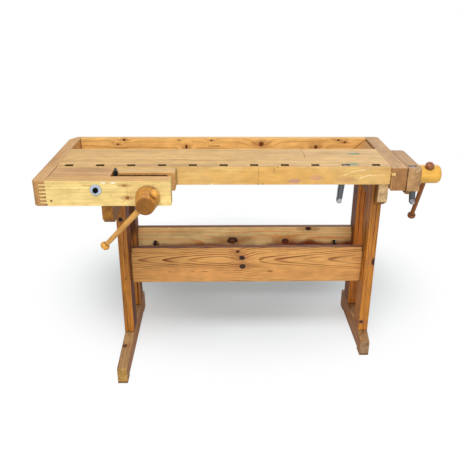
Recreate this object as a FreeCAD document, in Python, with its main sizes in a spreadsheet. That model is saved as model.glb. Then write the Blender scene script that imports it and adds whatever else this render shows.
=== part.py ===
import FreeCAD, Part
import math
import os
import re

import Sketcher

# Woodworking bench with a shoulder vise at the front left, an end vise on the
# right and a tool tray along the back, on a trestle of two frames.
# Millimetres; +X to the right, +Y to the back, +Z up. The origin is on the
# floor, in the middle of the bench's length and depth.

SIZES = {
    # levels above the floor
    "top_z": 850,           # work surface
    "slab_z": 780,          # underside of slab, front rail and dog strip
    "cap_z": 756,           # underside of left end cap, beam, block and chop
    "jaw_z": 759,           # underside of right end cap and jaw
    "bearer_z": 680,        # underside of the bearers
    "foot_z": 91,           # top of the feet at the posts
    "pad_t": 8,             # thickness of the pads under the feet
    "stretcher_top": 465,
    "stretcher_low": 304,
    # lines across the bench, from left to right
    "left_end": -767,       # outside of the left end cap
    "slab_left": -722,
    "slab_right": 552,
    "cap_right": 611,       # outside of the right end cap
    "jaw_right": 663,       # outside of the end vise's jaw
    "right_end": 767,       # end of the end vise's hub
    # lines from front to back
    "hub_front": -369,      # front of the shoulder vise's hub
    "beam_front": -273,
    "beam_back": -218,
    "jaw_front": -130,
    "cap_front": -122,      # front of the right end cap
    "rail_front": -108,     # front edge of the bench top
    "rail_joint": 42,       # butt joint in the front rail
    "dog_front": -90,       # the strip that holds the dog holes
    "dog_back": -67,
    "slab_back": 158,
    "rail_inner": 336,      # inner face of the back rail
    "back": 369,
    # top and tray
    "tray_t": 9,
    "tray_lap": 10,
    "ramp_run": 63,
    "ramp_rise": 51,
    "ramp_flat": 7,
    "tongue_z": 818,
    "tongue_t": 13,
    "tongue_len": 16,
    "groove_len": 18,
    "corner_x": 27,         # cut corner at the back of the left end cap
    "corner_y": 48,
    "edge_cut": 12,
    # row of dog holes, which lean towards the end vise
    "dog_first": -681,
    "dog_pitch": 117.5,
    "lean": 5.5,
    "slot_w": 24,
    "slot_head": 7,
    "slot_step": 24,
    # finger joint between the left end cap and the beam
    "finger_t": 6.7,
    "finger_len": 23,
    "finger_cheek": 11,
    "joint_gap": 2,
    # block, chop and beam of the shoulder vise
    "block_right": -499,
    "chop_left": -476,      # at the chop's front; its left end is cut askew
    "chop_skew": 19.5,
    "chop_right": -270,
    "chop_t": 66,
    "chop_tall": 71,
    "chop_neck": 44,
    "chop_slope": 12,
    "beam_right": -279,
    "play": 0.3,
    "shoe_front": 29,       # from the chop's front face to the shoe's ends
    "shoe_back": 62,
    "shoe_rib": 4.5,
    "bolt_x": -544,
    "bolt_z": 817,
    "bolt_d": 12,
    "washer_d": 40,
    "washer_t": 3,
    "hexnut_r": 10.4,
    "hexnut_t": 9,
    "anchor_d": 20,
    "anchor_y": -20,
    # vise screws, nuts, hubs and handle bars
    "front_x": -361,
    "front_z": 789,
    "tail_y": -32,
    "tail_z": 799,
    "screw_d": 24,
    "neck_d": 16,
    "collar_d": 30,
    "collar_t": 8,
    "head_d": 34,
    "plate_t": 5,
    "plate_d": 56,
    "run_fit": 0.05,        # radial play of a turning or sliding fit
    "nut_d": 36,
    "tail_nut_d": 38,
    "nut_len": 37,
    "nut_flange": 54,
    "hub_back_d": 87,
    "hub_front_d": 66,
    "hub_round": 3.5,
    "tail_hub_d": 73,
    "tail_hub_round": 15,
    "socket_len": 62,
    "front_bar_y": -335,
    "front_bar_tilt": 43.8,
    "front_bar_seat": 39.2, # hub axis to the near and far knobs' inner ends
    "front_bar_reach": 215,
    "front_bar_d": 22,
    "front_bar_tip": 17,
    "tail_bar_x": 716,
    "tail_bar_tilt": 27.5,
    "tail_bar_seat": 36.8,
    "tail_bar_reach": 239,
    "tail_bar_d": 19,
    "tail_bar_tip": 18,
    "knob_d": 33.5,
    "knob_len": 20,
    "tail_screw_in": 370,
    "bore_depth": 200,
    "rod_d": 18,
    "rod_in": 380,
    "rod_near": 35,
    "rod_far": 110,
    "rod_hold": 40,
    "jaw_back": 137,
    "jaw_dog_x": 637.5,
    "jaw_dog_front": -105.5,
    "rest_w": 18,
    "rest_long": 48,
    "rest_tall": 15,
    # steel bench dogs
    "dog_hole": 9,          # which hole of the row holds the bench dog
    "dog_long": 154,
    "dog_w": 18.5,
    "dog_side": 11,
    "dog_t": 22,
    "dog_sink": 1,
    "dog_head": 21.5,
    "leaf_w": 13,
    "leaf_t": 1.2,
    "leaf_bow": 2.2,
    "leaf_long": 96,
    # trestle
    "post_w": 40,
    "post_deep": 92,
    "post_left": -521,      # outer faces of the posts
    "post_right": 541,
    "post_front": -54,      # front faces of the front and rear posts
    "post_rear": 183,
    "tenon_w": 18,
    "tenon_deep": 58,
    "tenon_long": 52,
    "lap_inner": 24,        # what the lap joints leave of the posts
    "bearer_w": 39,
    "bearer_out": 9,        # overhang of the bearers outside the posts
    "bearer_back": 330,
    "bearer_left_front": -268,
    "bearer_right_front": -98,
    "bearer_rise": 24,      # sloping cut under each end of the bearers
    "run_left": 31,
    "run_right": 44,
    "foot_back": 332,
    "foot_left_front": -297,
    "foot_right_front": -114,
    "toe_left": 71,
    "toe_right": 65,
    "heel_r": 14,
    "pad_len": 55,
    "stretcher_front": 4,   # front faces of the stretchers
    "stretcher_rear": 232,
    "stretcher_t": 28,
    "housing": 12,
    "kerf_w": 3,
    "kerf_deep": 18,
    "rod_bolt_d": 10,
    "pocket_d": 30,
    "pocket_deep": 21,
    "pocket_in": 80,
    "bolt_head": 17,
    "bolt_head_t": 7,
    "bolt_washer": 28,
    "wood_screw_d": 6,
    "wood_screw_long": 36,
    "lag_d": 8,
    "lag_in": 42,
}
DOG_HOLES = 11
FINGERS = 6

doc = FreeCAD.newDocument("workbench")
sheet = doc.addObject("Spreadsheet::Sheet", "dims")
for row, (alias, value) in enumerate(SIZES.items(), start=1):
    sheet.set("A%d" % row, alias)
    sheet.set("B%d" % row, str(value))
    sheet.setAlias("B%d" % row, alias)
doc.recompute()

PARTS = []          # every finished piece, in the order it was made


# ---- modelling helpers -----------------------------------------------------

def ex(text):
    """Expression in which each size's name stands for its cell."""
    return re.sub(r"[a-z]\w*", lambda m: ("dims." if m.group() in SIZES else "") + m.group(), str(text))


def finish(obj, name):
    obj.Label = name
    PARTS.append(obj)
    return obj


def place(obj, x="0", y="0", z="0"):
    for axis, text in zip("xyz", (x, y, z)):
        obj.setExpression(".Placement.Base." + axis, ex(text))
    return obj


def turn(obj, axis, text):
    obj.Placement = FreeCAD.Placement(FreeCAD.Vector(), FreeCAD.Rotation(axis, 1))
    obj.setExpression(".Placement.Rotation.Angle", ex(text))
    return obj


def box(name, x, y, z):
    """Block between pairs of expressions along X, Y and Z."""
    obj = doc.addObject("Part::Box", name)
    for prop, (low, high) in zip(("Length", "Width", "Height"), (x, y, z)):
        obj.setExpression(prop, ex("(%s) - (%s)" % (high, low)))
    return place(obj, x[0], y[0], z[0])


TURNS = {"X": (FreeCAD.Vector(0, 1, 0), 90), "Y": (FreeCAD.Vector(1, 0, 0), -90), "Z": (FreeCAD.Vector(0, 0, 1), 0)}


def cylinder(name, axis, diameter, length, x, y, z):
    """Round bar from a point, along +X, +Y or +Z."""
    obj = doc.addObject("Part::Cylinder", name)
    obj.setExpression("Radius", ex("(%s) / 2" % diameter))
    obj.setExpression("Height", ex(length))
    obj.Placement = FreeCAD.Placement(FreeCAD.Vector(), FreeCAD.Rotation(*TURNS[axis]))
    return place(obj, x, y, z)


def group(name, members):
    obj = doc.addObject("Part::Compound", name)
    obj.Links = members
    return obj


def cut(name, base, tools):
    obj = doc.addObject("Part::Cut", name)
    obj.Base = base
    obj.Tool = group(name + "_cutters", tools) if len(tools) > 1 else tools[0]
    return obj


def new_body(name):
    return doc.addObject("PartDesign::Body", name)


def new_sketch(body, role, offset="0"):
    sketch = body.newObject("Sketcher::SketchObject", body.Name + "_sketch")
    plane = next(item for item in body.Origin.OriginFeatures if item.Role == role)
    sketch.AttachmentSupport = [(plane, "")]
    sketch.MapMode = "FlatFace"
    sketch.setExpression(".AttachmentOffset.Base.z", ex(offset))
    return sketch


def hold(sketch, kind, geometry, point, start, text):
    index = sketch.addConstraint(Sketcher.Constraint(kind, -1, 1, geometry, point, start))
    sketch.setExpression("Constraints[%d]" % index, ex(text))


def polygon(sketch, points):
    """Closed outline whose corners are held to expressions."""
    first = sketch.GeometryCount
    count = len(points)
    ring = [FreeCAD.Vector(9 * math.cos(math.tau * i / count), 9 * math.sin(math.tau * i / count), 0)
            for i in range(count + 1)]
    for i in range(count):
        sketch.addGeometry(Part.LineSegment(ring[i], ring[i + 1]), False)
    for i in range(count):
        sketch.addConstraint(Sketcher.Constraint("Coincident", first + i, 2, first + (i + 1) % count, 1))
    for i, (x, y) in enumerate(points):
        hold(sketch, "DistanceX", first + i, 1, ring[i].x, x)
        hold(sketch, "DistanceY", first + i, 1, ring[i].y, y)


def circle(sketch, x, y, diameter):
    index = sketch.addGeometry(Part.Circle(FreeCAD.Vector(1, 1, 0), FreeCAD.Vector(0, 0, 1), 5), False)
    hold(sketch, "DistanceX", index, 3, 1, x)
    hold(sketch, "DistanceY", index, 3, 1, y)
    size = sketch.addConstraint(Sketcher.Constraint("Diameter", index, 10))
    sketch.setExpression("Constraints[%d]" % size, ex(diameter))


def rect(x0, x1, y0, y1):
    return [(x0, y0), (x1, y0), (x1, y1), (x0, y1)]


def pad(body, role, points, length, flip=False):
    sketch = new_sketch(body, role)
    polygon(sketch, points)
    feature = body.newObject("PartDesign::Pad", body.Name + "_pad")
    feature.Profile = sketch
    feature.Reversed = flip
    feature.setExpression("Length", ex(length))
    doc.recompute()
    return body


def pocket(body, role, depth, outlines=(), circles=(), offset="0", flip=False):
    before = body.Shape.Volume
    sketch = new_sketch(body, role, offset)
    for points in outlines:
        polygon(sketch, points)
    for data in circles:
        circle(sketch, *data)
    feature = body.newObject("PartDesign::Pocket", body.Name + "_pocket")
    feature.Profile = sketch
    feature.Reversed = flip
    feature.setExpression("Length", ex(depth))
    doc.recompute()
    if body.Shape.Volume > before - 1:
        raise ValueError("pocket cut nothing in " + body.Name)
    return body


def revolve(body, points, axis):
    sketch = new_sketch(body, "XY_Plane")
    polygon(sketch, points)
    feature = body.newObject("PartDesign::Revolution", body.Name + "_turned")
    feature.Profile = sketch
    feature.ReferenceAxis = (sketch, [axis])
    feature.Angle = 360
    doc.recompute()
    return body


def soften(body, kind, size, wanted):
    """Fillet or Chamfer on the edges that the test picks."""
    names = ["Edge%d" % i for i, edge in enumerate(body.Shape.Edges, start=1) if wanted(edge)]
    if not names:
        raise ValueError("no edge to soften on " + body.Name)
    tip = body.Tip
    feature = body.newObject("PartDesign::" + kind, body.Name + "_" + kind.lower())
    feature.Base = (tip, names)
    feature.setExpression("Radius" if kind == "Fillet" else "Size", ex(size))
    doc.recompute()
    return body


def lies_at(axis, value):
    """Edge test: the whole edge lies at one value of x, y or z."""
    def test(edge):
        box_ = edge.BoundBox
        low, high = {"x": (box_.XMin, box_.XMax), "y": (box_.YMin, box_.YMax), "z": (box_.ZMin, box_.ZMax)}[axis]
        return abs(low - value) < 0.01 and abs(high - value) < 0.01
    return test


# ---- bench top ---------------------------------------------------------------

def make_slab():
    """Glued-up slab with a tongue at both ends and bores for the end vise."""
    tongue = ("tongue_z", "tongue_z + tongue_t")
    left = "slab_left - tongue_len"
    right = "slab_right + tongue_len"
    points = [("slab_left", "slab_z"), ("slab_right", "slab_z"), ("slab_right", tongue[0]), (right, tongue[0]),
              (right, tongue[1]), ("slab_right", tongue[1]), ("slab_right", "top_z"), ("slab_left", "top_z"),
              ("slab_left", tongue[1]), (left, tongue[1]), (left, tongue[0]), ("slab_left", tongue[0])]
    body = pad(new_body("slab_blank"), "XZ_Plane", points, "slab_back - dog_back", flip=True)
    place(body, y="dog_back")
    bores = [cylinder("slab_bore_screw", "X", "screw_d + 3", "bore_depth + 1", "slab_right - bore_depth",
                      "tail_y", "tail_z"),
             cylinder("slab_nut_clearance", "X", "tail_nut_d", "tongue_len", "slab_right", "tail_y", "tail_z")]
    for name, y in (("near", "rod_near"), ("far", "rod_far")):
        bores.append(cylinder("slab_bore_" + name, "X", "rod_d + 4", "bore_depth + 1",
                              "slab_right - bore_depth", y, "tail_z"))
    rebate = box("slab_rebate", ("slab_left - 1", "slab_right + 1"), ("slab_back - tray_lap", "slab_back + 1"),
                 ("slab_z - 1", "slab_z + tray_t"))
    anchor = cylinder("slab_anchor_bore", "Z", "anchor_d", "bolt_z + 18 - slab_z", "bolt_x", "anchor_y", "slab_z")
    bolt = cylinder("slab_bolt_bore", "Y", "bolt_d + 1", "anchor_y - dog_back", "bolt_x", "dog_back", "bolt_z")
    lags = [cylinder("slab_lag_%d" % i, "Z", "lag_d", "lag_in", x, y, "slab_z")
            for i, (x, y) in enumerate(LAG_PLACES)]
    finish(cut("top_slab", body, bores + [rebate, anchor, bolt] + lags), "top_slab")


def make_front_rail():
    """Front rail of two lengths, butted end to end."""
    right = "slab_right + tongue_len"
    long_piece = [("rail_joint", "slab_z"), ("slab_right", "slab_z"), ("slab_right", "tongue_z"), (right, "tongue_z"),
                  (right, "tongue_z + tongue_t"), ("slab_right", "tongue_z + tongue_t"), ("slab_right", "top_z"),
                  ("rail_joint", "top_z")]
    depth = "dog_front - rail_front"
    right_piece = pad(new_body("front_rail_right"), "XZ_Plane", long_piece, depth, flip=True)
    left_piece = pad(new_body("front_rail_left"), "XZ_Plane", rect("slab_left + joint_gap", "rail_joint", "slab_z",
                                                                   "top_z"), depth, flip=True)
    pocket(left_piece, "XZ_Plane", depth, circles=[("bolt_x", "bolt_z", "bolt_d + 1")])
    nose = box("front_rail_nose", ("slab_right", right), ("cap_front", "rail_front"),
               ("tongue_z", "tongue_z + tongue_t"))
    whole = doc.addObject("Part::MultiFuse", "front_rail_right_whole")
    whole.Shapes = [place(right_piece, y="rail_front"), nose]
    finish(group("front_rail", [place(left_piece, y="rail_front"), whole]), "front_rail")


def slot_side(centre, side, level, head, way=1):
    """X of a leaning dog hole's wall at a level: side is -1 or +1, head adds the recess for the dog's head."""
    recess = " + slot_head" if head else ""
    return "%s + %d * (slot_w / 2%s) - %d * (top_z - (%s)) * tan(lean)" % (centre, side, recess, way, level)


def make_dog_strip():
    """Blocks between the leaning dog holes; each hole has a recess for the dog's head."""
    holes = ["dog_first + %d * dog_pitch" % i for i in range(DOG_HOLES)]
    step = "top_z - slot_step"
    blocks = []
    for i in range(DOG_HOLES + 1):
        if i == 0:
            left = [("slab_left", "top_z"), ("slab_left", "slab_z")]
        else:
            hole = holes[i - 1]
            left = [(slot_side(hole, 1, "top_z", True), "top_z"), (slot_side(hole, 1, step, True), step),
                    (slot_side(hole, 1, step, False), step), (slot_side(hole, 1, "slab_z", False), "slab_z")]
        if i == DOG_HOLES:
            right = [("slab_right", "slab_z"), ("slab_right", "top_z")]
        else:
            right = [(slot_side(holes[i], -1, "slab_z", False), "slab_z"),
                     (slot_side(holes[i], -1, "top_z", False), "top_z")]
        block = pad(new_body("dog_block_%02d" % i), "XZ_Plane", left + right, "dog_back - dog_front", flip=True)
        place(block, y="dog_front")
        blocks.append(block)
    bore = cylinder("dog_strip_bore", "Y", "bolt_d + 1", "dog_back - dog_front", "bolt_x", "dog_front", "bolt_z")
    blocks[2] = cut("dog_block_bored", blocks[2], [bore])
    finish(group("dog_strip", blocks), "dog_strip")


def finger_levels():
    """Bottom and top of each of the beam's fingers."""
    return [("top_z - finger_cheek - %d * finger_t" % (2 * i + 1), "top_z - finger_cheek - %d * finger_t" % (2 * i))
            for i in range(FINGERS)]


def make_left_cap():
    points = [("left_end + edge_cut", "beam_front"), ("slab_left", "beam_front"), ("slab_left", "back"),
              ("left_end + corner_x", "back"), ("left_end", "back - corner_y"), ("left_end", "beam_front + edge_cut")]
    body = pad(new_body("left_end_cap"), "XY_Plane", points, "top_z - cap_z")
    fingers = [rect("beam_front - 1", "beam_back", low + " - cap_z", high + " - cap_z")
               for low, high in finger_levels()]
    pocket(body, "YZ_Plane", "finger_len", outlines=fingers, offset="slab_left")
    tongue = rect("dog_back", "slab_back", "tongue_z - cap_z", "tongue_z + tongue_t - cap_z")
    pocket(body, "YZ_Plane", "groove_len", outlines=[tongue], offset="slab_left")
    tray = rect("slab_back - tray_lap", "rail_inner + tray_lap", "slab_z - cap_z", "slab_z + tray_t - cap_z")
    pocket(body, "YZ_Plane", "tray_lap", outlines=[tray], offset="slab_left")
    finish(place(body, z="cap_z"), "left_end_cap")


def make_right_cap():
    points = [("slab_right", "cap_front"), ("cap_right", "cap_front"), ("cap_right", "back - edge_cut"),
              ("cap_right - edge_cut", "back"), ("slab_right", "back")]
    body = pad(new_body("right_end_cap"), "XY_Plane", points, "top_z - jaw_z")
    tongue = rect("cap_front - 1", "slab_back", "tongue_z - jaw_z", "tongue_z + tongue_t - jaw_z")
    pocket(body, "YZ_Plane", "groove_len", outlines=[tongue], offset="slab_right", flip=True)
    tray = rect("slab_back - tray_lap", "rail_inner + tray_lap", "slab_z - jaw_z", "slab_z + tray_t - jaw_z")
    pocket(body, "YZ_Plane", "tray_lap", outlines=[tray], offset="slab_right", flip=True)
    level = "tail_z - jaw_z"
    rods = [(y, level, "rod_d + 2 * run_fit") for y in ("rod_near", "rod_far")]
    nut = ("tail_y", level, "tail_nut_d")
    pocket(body, "YZ_Plane", "cap_right - slab_right", circles=rods + [nut], offset="slab_right", flip=True)
    pocket(body, "YZ_Plane", "plate_t", circles=[("tail_y", level, "nut_flange")], offset="cap_right")
    finish(place(body, z="jaw_z"), "right_end_cap")


def make_tray():
    rail = pad(new_body("back_rail"), "YZ_Plane",
               [("rail_inner", "cap_z"), ("back", "cap_z"), ("back", "top_z"), ("rail_inner", "top_z"),
                ("rail_inner", "slab_z + tray_t"), ("rail_inner + tray_lap", "slab_z + tray_t"),
                ("rail_inner + tray_lap", "slab_z"), ("rail_inner", "slab_z")], "slab_right - slab_left")
    finish(place(rail, x="slab_left"), "back_rail")
    board = box("tray_bottom", ("slab_left - tray_lap", "slab_right + tray_lap"),
                ("slab_back - tray_lap", "rail_inner + tray_lap"), ("slab_z", "slab_z + tray_t"))
    finish(board, "tray_bottom")
    floor = "slab_z + tray_t"
    points = [("slab_right - ramp_flat - ramp_run", floor), ("slab_right", floor),
              ("slab_right", floor + " + ramp_rise"), ("slab_right - ramp_flat", floor + " + ramp_rise")]
    ramp = pad(new_body("tray_ramp"), "XZ_Plane", points, "rail_inner - slab_back", flip=True)
    finish(place(ramp, y="slab_back"), "tray_ramp")


# ---- shoulder vise at the front left --------------------------------------------

def make_fixed_block():
    body = pad(new_body("fixed_block"), "XZ_Plane", rect("slab_left + joint_gap", "block_right", "cap_z", "top_z"),
               "rail_front - beam_back", flip=True)
    pocket(body, "XZ_Plane", "rail_front - beam_back", circles=[("bolt_x", "bolt_z", "bolt_d + 1")])
    finish(place(body, y="beam_back"), "fixed_block")


def make_beam():
    """Beam of the shoulder vise, fingered into the left end cap."""
    points = [("beam_right", "cap_z"), ("beam_right", "top_z"), ("slab_left", "top_z")]
    for low, high in finger_levels():
        points += [("slab_left", high), ("slab_left - finger_len", high), ("slab_left - finger_len", low),
                   ("slab_left", low)]
    last = finger_levels()[-1][0] + " - 1"
    points += [("slab_left", last), ("slab_left + joint_gap", last), ("slab_left + joint_gap", "cap_z")]
    body = pad(new_body("vise_beam"), "XZ_Plane", points, "beam_back - beam_front", flip=True)
    pocket(body, "XZ_Plane", "beam_back - beam_front",
           circles=[("bolt_x", "bolt_z", "bolt_d + 1"), ("front_x", "front_z", "screw_d + 2")])
    behind = "beam_front - beam_back"
    pocket(body, "XZ_Plane", "nut_len + plate_t", circles=[("front_x", "front_z", "nut_d")], offset=behind, flip=True)
    pocket(body, "XZ_Plane", "plate_t", circles=[("front_x", "front_z", "nut_flange")], offset=behind, flip=True)
    finish(place(body, y="beam_front"), "vise_beam")


def make_beam_bolt():
    """Threaded rod that pulls beam and block against the bench top."""
    front = "beam_front - washer_t - hexnut_t - 4"
    rod = cylinder("beam_bolt", "Y", "bolt_d", "anchor_y + anchor_d / 2 - 2 - (%s)" % front, "bolt_x", front, "bolt_z")
    finish(rod, "beam_bolt")
    washer_y = "beam_front - washer_t"
    hole = cylinder("beam_washer_hole", "Y", "bolt_d + 1", "washer_t", "bolt_x", washer_y, "bolt_z")
    washer = cylinder("beam_washer_disc", "Y", "washer_d", "washer_t", "bolt_x", washer_y, "bolt_z")
    finish(cut("beam_washer", washer, [hole]), "beam_washer")
    nut = new_body("beam_nut")
    sides = [("bolt_x + hexnut_r * cos(%d)" % angle, "bolt_z + hexnut_r * sin(%d)" % angle)
             for angle in range(30, 390, 60)]
    pad(nut, "XZ_Plane", sides, "hexnut_t", flip=True)
    pocket(nut, "XZ_Plane", "hexnut_t", circles=[("bolt_x", "bolt_z", "bolt_d")])
    finish(place(nut, y="beam_front - washer_t - hexnut_t"), "beam_nut")
    anchor = cylinder("beam_anchor_pin", "Z", "anchor_d", "bolt_z + 18 - slab_z", "bolt_x", "anchor_y", "slab_z")
    bore = cylinder("beam_anchor_bore", "Y", "bolt_d", "anchor_d", "bolt_x", "anchor_y - anchor_d / 2 - 2", "bolt_z")
    finish(cut("beam_bolt_anchor", anchor, [bore]), "beam_bolt_anchor")


def make_chop():
    """Moving jaw, cut askew at its left end and shallower at its free end."""
    rear = "chop_t - play"
    points = [("chop_left", "0"), ("chop_right", "0"), ("chop_right", rear), ("chop_left - chop_skew", rear)]
    body = pad(new_body("front_chop"), "XY_Plane", points, "top_z - cap_z")
    low = "top_z - chop_tall - cap_z"
    step = [("chop_right - chop_neck", "-1"), ("chop_right + 1", "-1"), ("chop_right + 1", low),
            ("chop_right - chop_neck + chop_slope", low), ("chop_right - chop_neck", "0")]
    pocket(body, "XZ_Plane", "chop_t", outlines=[step])
    level = "front_z - cap_z"
    pocket(body, "XZ_Plane", "plate_t + collar_t + 2", circles=[("front_x", level, "collar_d + 2")])
    pocket(body, "XZ_Plane", "plate_t", circles=[("front_x", level, "plate_d")])
    finish(place(body, y="rail_front - chop_t", z="cap_z"), "front_chop")
    plate = new_body("front_garter_plate")
    sketch = new_sketch(plate, "XZ_Plane")
    circle(sketch, "front_x", "front_z", "plate_d")
    circle(sketch, "front_x", "front_z", "neck_d + 2 * run_fit")
    feature = plate.newObject("PartDesign::Pad", "front_garter_plate_pad")
    feature.Profile = sketch
    feature.Reversed = True
    feature.setExpression("Length", ex("plate_t"))
    finish(place(plate, y="rail_front - chop_t"), "front_garter_plate")


def make_guide_shoe():
    """Wedge-shaped shoe between chop and block, with ribs across its front."""
    left = "block_right + play"
    skewed = "chop_left - chop_skew * (%s) / (chop_t - play)"
    points = [(left, "shoe_front"), (skewed % "shoe_front", "shoe_front"), (skewed % "shoe_back", "shoe_back"),
              (left, "shoe_back")]
    tall = "top_z - slab_z - 6"
    body = pad(new_body("chop_guide_shoe"), "XY_Plane", points, tall)
    grooves = [rect(left + " + 2", skewed % "shoe_front" + " - 2", "%s - %d * shoe_rib" % (tall, 2 * i + 2),
                    "%s - %d * shoe_rib" % (tall, 2 * i + 1)) for i in range(6)]
    pocket(body, "XZ_Plane", "shoe_rib", outlines=grooves, offset="-shoe_front")
    finish(place(body, y="rail_front - chop_t", z="slab_z + 4"), "chop_guide_shoe")


def make_front_screw():
    """Screw, nut and hub of the shoulder vise, turned about Y."""
    plate = "rail_front - chop_t"
    nut = revolve(new_body("front_nut"),
                  [("screw_d / 2 + run_fit", "beam_back - plate_t - nut_len"),
                   ("nut_d / 2", "beam_back - plate_t - nut_len"), ("nut_d / 2", "beam_back - plate_t"),
                   ("nut_flange / 2", "beam_back - plate_t"), ("nut_flange / 2", "beam_back"),
                   ("screw_d / 2 + run_fit", "beam_back")], "V_Axis")
    finish(place(nut, x="front_x", z="front_z"), "front_nut")
    hub_back = "beam_front - 3"
    screw = revolve(new_body("front_screw_blank"),
                    [("0", hub_back + " - socket_len"), ("head_d / 2", hub_back + " - socket_len"),
                     ("head_d / 2", hub_back), ("screw_d / 2", hub_back), ("screw_d / 2", plate + " - 0.5"),
                     ("neck_d / 2", plate + " - 0.5"), ("neck_d / 2", plate + " + plate_t + play"),
                     ("collar_d / 2", plate + " + plate_t + play"),
                     ("collar_d / 2", plate + " + plate_t + play + collar_t"),
                     ("0", plate + " + plate_t + play + collar_t")], "V_Axis")
    place(screw, x="front_x", z="front_z")
    finish(cut("front_screw", screw, [bar_bore("front_screw_bore", "front")]), "front_screw")
    round_edge = [("hub_front_d / 2 - hub_round * (1 - cos(%d))" % angle,
                   "hub_front + hub_round * (1 - sin(%d))" % angle) for angle in (90, 45, 0)]
    hub = revolve(new_body("front_hub_blank"),
                  [("0", "hub_front")] + round_edge
                  + [("hub_back_d / 2", hub_back + " - 12"),
                     ("hub_back_d / 2 - 2", hub_back), ("head_d / 2", hub_back),
                     ("head_d / 2", hub_back + " - socket_len"), ("0", hub_back + " - socket_len")], "V_Axis")
    place(hub, x="front_x", z="front_z")
    finish(cut("front_hub", hub, [bar_bore("front_hub_bore", "front")]), "front_hub")


# ---- handle bars ------------------------------------------------------------------

# Placement of each bar: the point where it crosses the hub's axis, the axis
# about which it tilts away from upright, and the tilt.
BARS = {"front": (("front_x", "front_bar_y", "front_z"), FreeCAD.Vector(0, 1, 0), "front_bar_tilt"),
        "tail": (("tail_bar_x", "tail_y", "tail_z"), FreeCAD.Vector(1, 0, 0), "tail_bar_tilt")}


def lean_over(obj, side, start, turned=FreeCAD.Rotation()):
    """Put an upright piece on a bar's line, at a distance from the hub's axis."""
    (x, y, z), axis, angle = BARS[side]
    obj.Placement = FreeCAD.Placement(FreeCAD.Vector(), FreeCAD.Rotation(axis, SIZES[angle]).multiply(turned))
    run, rise = "(%s) * sin(%s)" % (start, angle), "(%s) * cos(%s)" % (start, angle)
    if axis.y:
        return place(obj, "%s + %s" % (x, run), y, "%s + %s" % (z, rise))
    return place(obj, x, "%s - %s" % (y, run), "%s + %s" % (z, rise))


def bar_bore(name, side):
    """Cutter for the hole that lets the bar slide through hub and screw."""
    obj = doc.addObject("Part::Cylinder", name)
    obj.setExpression("Radius", ex(side + "_bar_d / 2 + run_fit * 2"))
    obj.Height = 120
    return lean_over(obj, side, "-60")


UPRIGHT = FreeCAD.Rotation(FreeCAD.Vector(1, 0, 0), 90)
HANGING = FreeCAD.Rotation(FreeCAD.Vector(1, 0, 0), -90)


def make_knob(name, side, start, socket, turned):
    """Turned knob; the bar's end is glued halfway into it."""
    body = revolve(new_body(name),
                   [("0", "knob_len / 2"), (socket + " / 2", "knob_len / 2"), (socket + " / 2", "0"),
                    ("knob_d / 2 - 3", "0"), ("knob_d / 2", "knob_len * 0.22"), ("knob_d / 2", "knob_len * 0.6"),
                    ("knob_d / 2 - 3.5", "knob_len * 0.86"), ("knob_d / 2 - 9", "knob_len"), ("0", "knob_len")],
                   "V_Axis")
    return lean_over(body, side, start, turned)


def make_bar(side):
    """Sliding handle bar, slimmer towards its lower end; its upper knob rests on the hub."""
    seat, reach, thick, tip = [side + "_bar_" + word for word in ("seat", "reach", "d", "tip")]
    low, high = "-%s - knob_len / 2" % reach, seat + " + knob_len / 2"
    bar = revolve(new_body(side + "_bar"),
                  [("0", low), (tip + " / 2", low), (tip + " / 2", "-" + reach), (thick + " / 2", "-" + seat),
                   (thick + " / 2", high), ("0", high)], "V_Axis")
    finish(lean_over(bar, side, "0", UPRIGHT), side + "_bar")
    knobs = [make_knob(side + "_knob_upper", side, seat, thick, UPRIGHT),
             make_knob(side + "_knob_lower", side, "-" + reach, tip, HANGING)]
    finish(group(side + "_bar_knobs", knobs), side + "_bar_knobs")


# ---- end vise -----------------------------------------------------------------------

def make_jaw():
    """End vise jaw with a leaning dog hole, which leans back towards the bench."""
    left = "cap_right + play"
    points = [(left, "jaw_front"), ("jaw_right - 4", "jaw_front"), ("jaw_right", "jaw_front + 4"),
              ("jaw_right", "jaw_back - 10"), ("jaw_right - 8", "jaw_back"), (left, "jaw_back")]
    body = pad(new_body("tail_jaw"), "XY_Plane", points, "top_z - jaw_z")
    step = "top_z - slot_step"
    slot = [(slot_side("jaw_dog_x", 1, "top_z", False, -1), "top_z - jaw_z"),
            (slot_side("jaw_dog_x", 1, "jaw_z", False, -1), "0"),
            (slot_side("jaw_dog_x", -1, "jaw_z", False, -1), "0"),
            (slot_side("jaw_dog_x", -1, step, False, -1), step + " - jaw_z"),
            (slot_side("jaw_dog_x", -1, step, True, -1), step + " - jaw_z"),
            (slot_side("jaw_dog_x", -1, "top_z", True, -1), "top_z - jaw_z")]
    pocket(body, "XZ_Plane", "dog_back - dog_front", outlines=[slot], offset="-jaw_dog_front")
    level = "tail_z - jaw_z"
    pocket(body, "YZ_Plane", "jaw_right - cap_right", circles=[("tail_y", level, "screw_d + 2")],
           offset="cap_right", flip=True)
    pocket(body, "YZ_Plane", "collar_t + 2", circles=[("tail_y", level, "collar_d + 8")],
           offset="cap_right", flip=True)
    rods = [(y, level, "rod_d") for y in ("rod_near", "rod_far")]
    pocket(body, "YZ_Plane", "rod_hold", circles=rods, offset="cap_right", flip=True)
    finish(place(body, z="jaw_z"), "tail_jaw")
    bars = [cylinder("guide_rod_" + y, "X", "rod_d", "cap_right + rod_hold - rod_in", "rod_in", y, "tail_z")
            for y in ("rod_near", "rod_far")]
    finish(group("tail_guide_rods", bars), "tail_guide_rods")
    near = "jaw_dog_front - 12.5"
    rest = box("jaw_dog_rest", (left, left + " + rest_w"), (near, near + " + rest_long"), ("jaw_z - rest_tall", "jaw_z"))
    finish(rest, "jaw_dog_rest")


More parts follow.
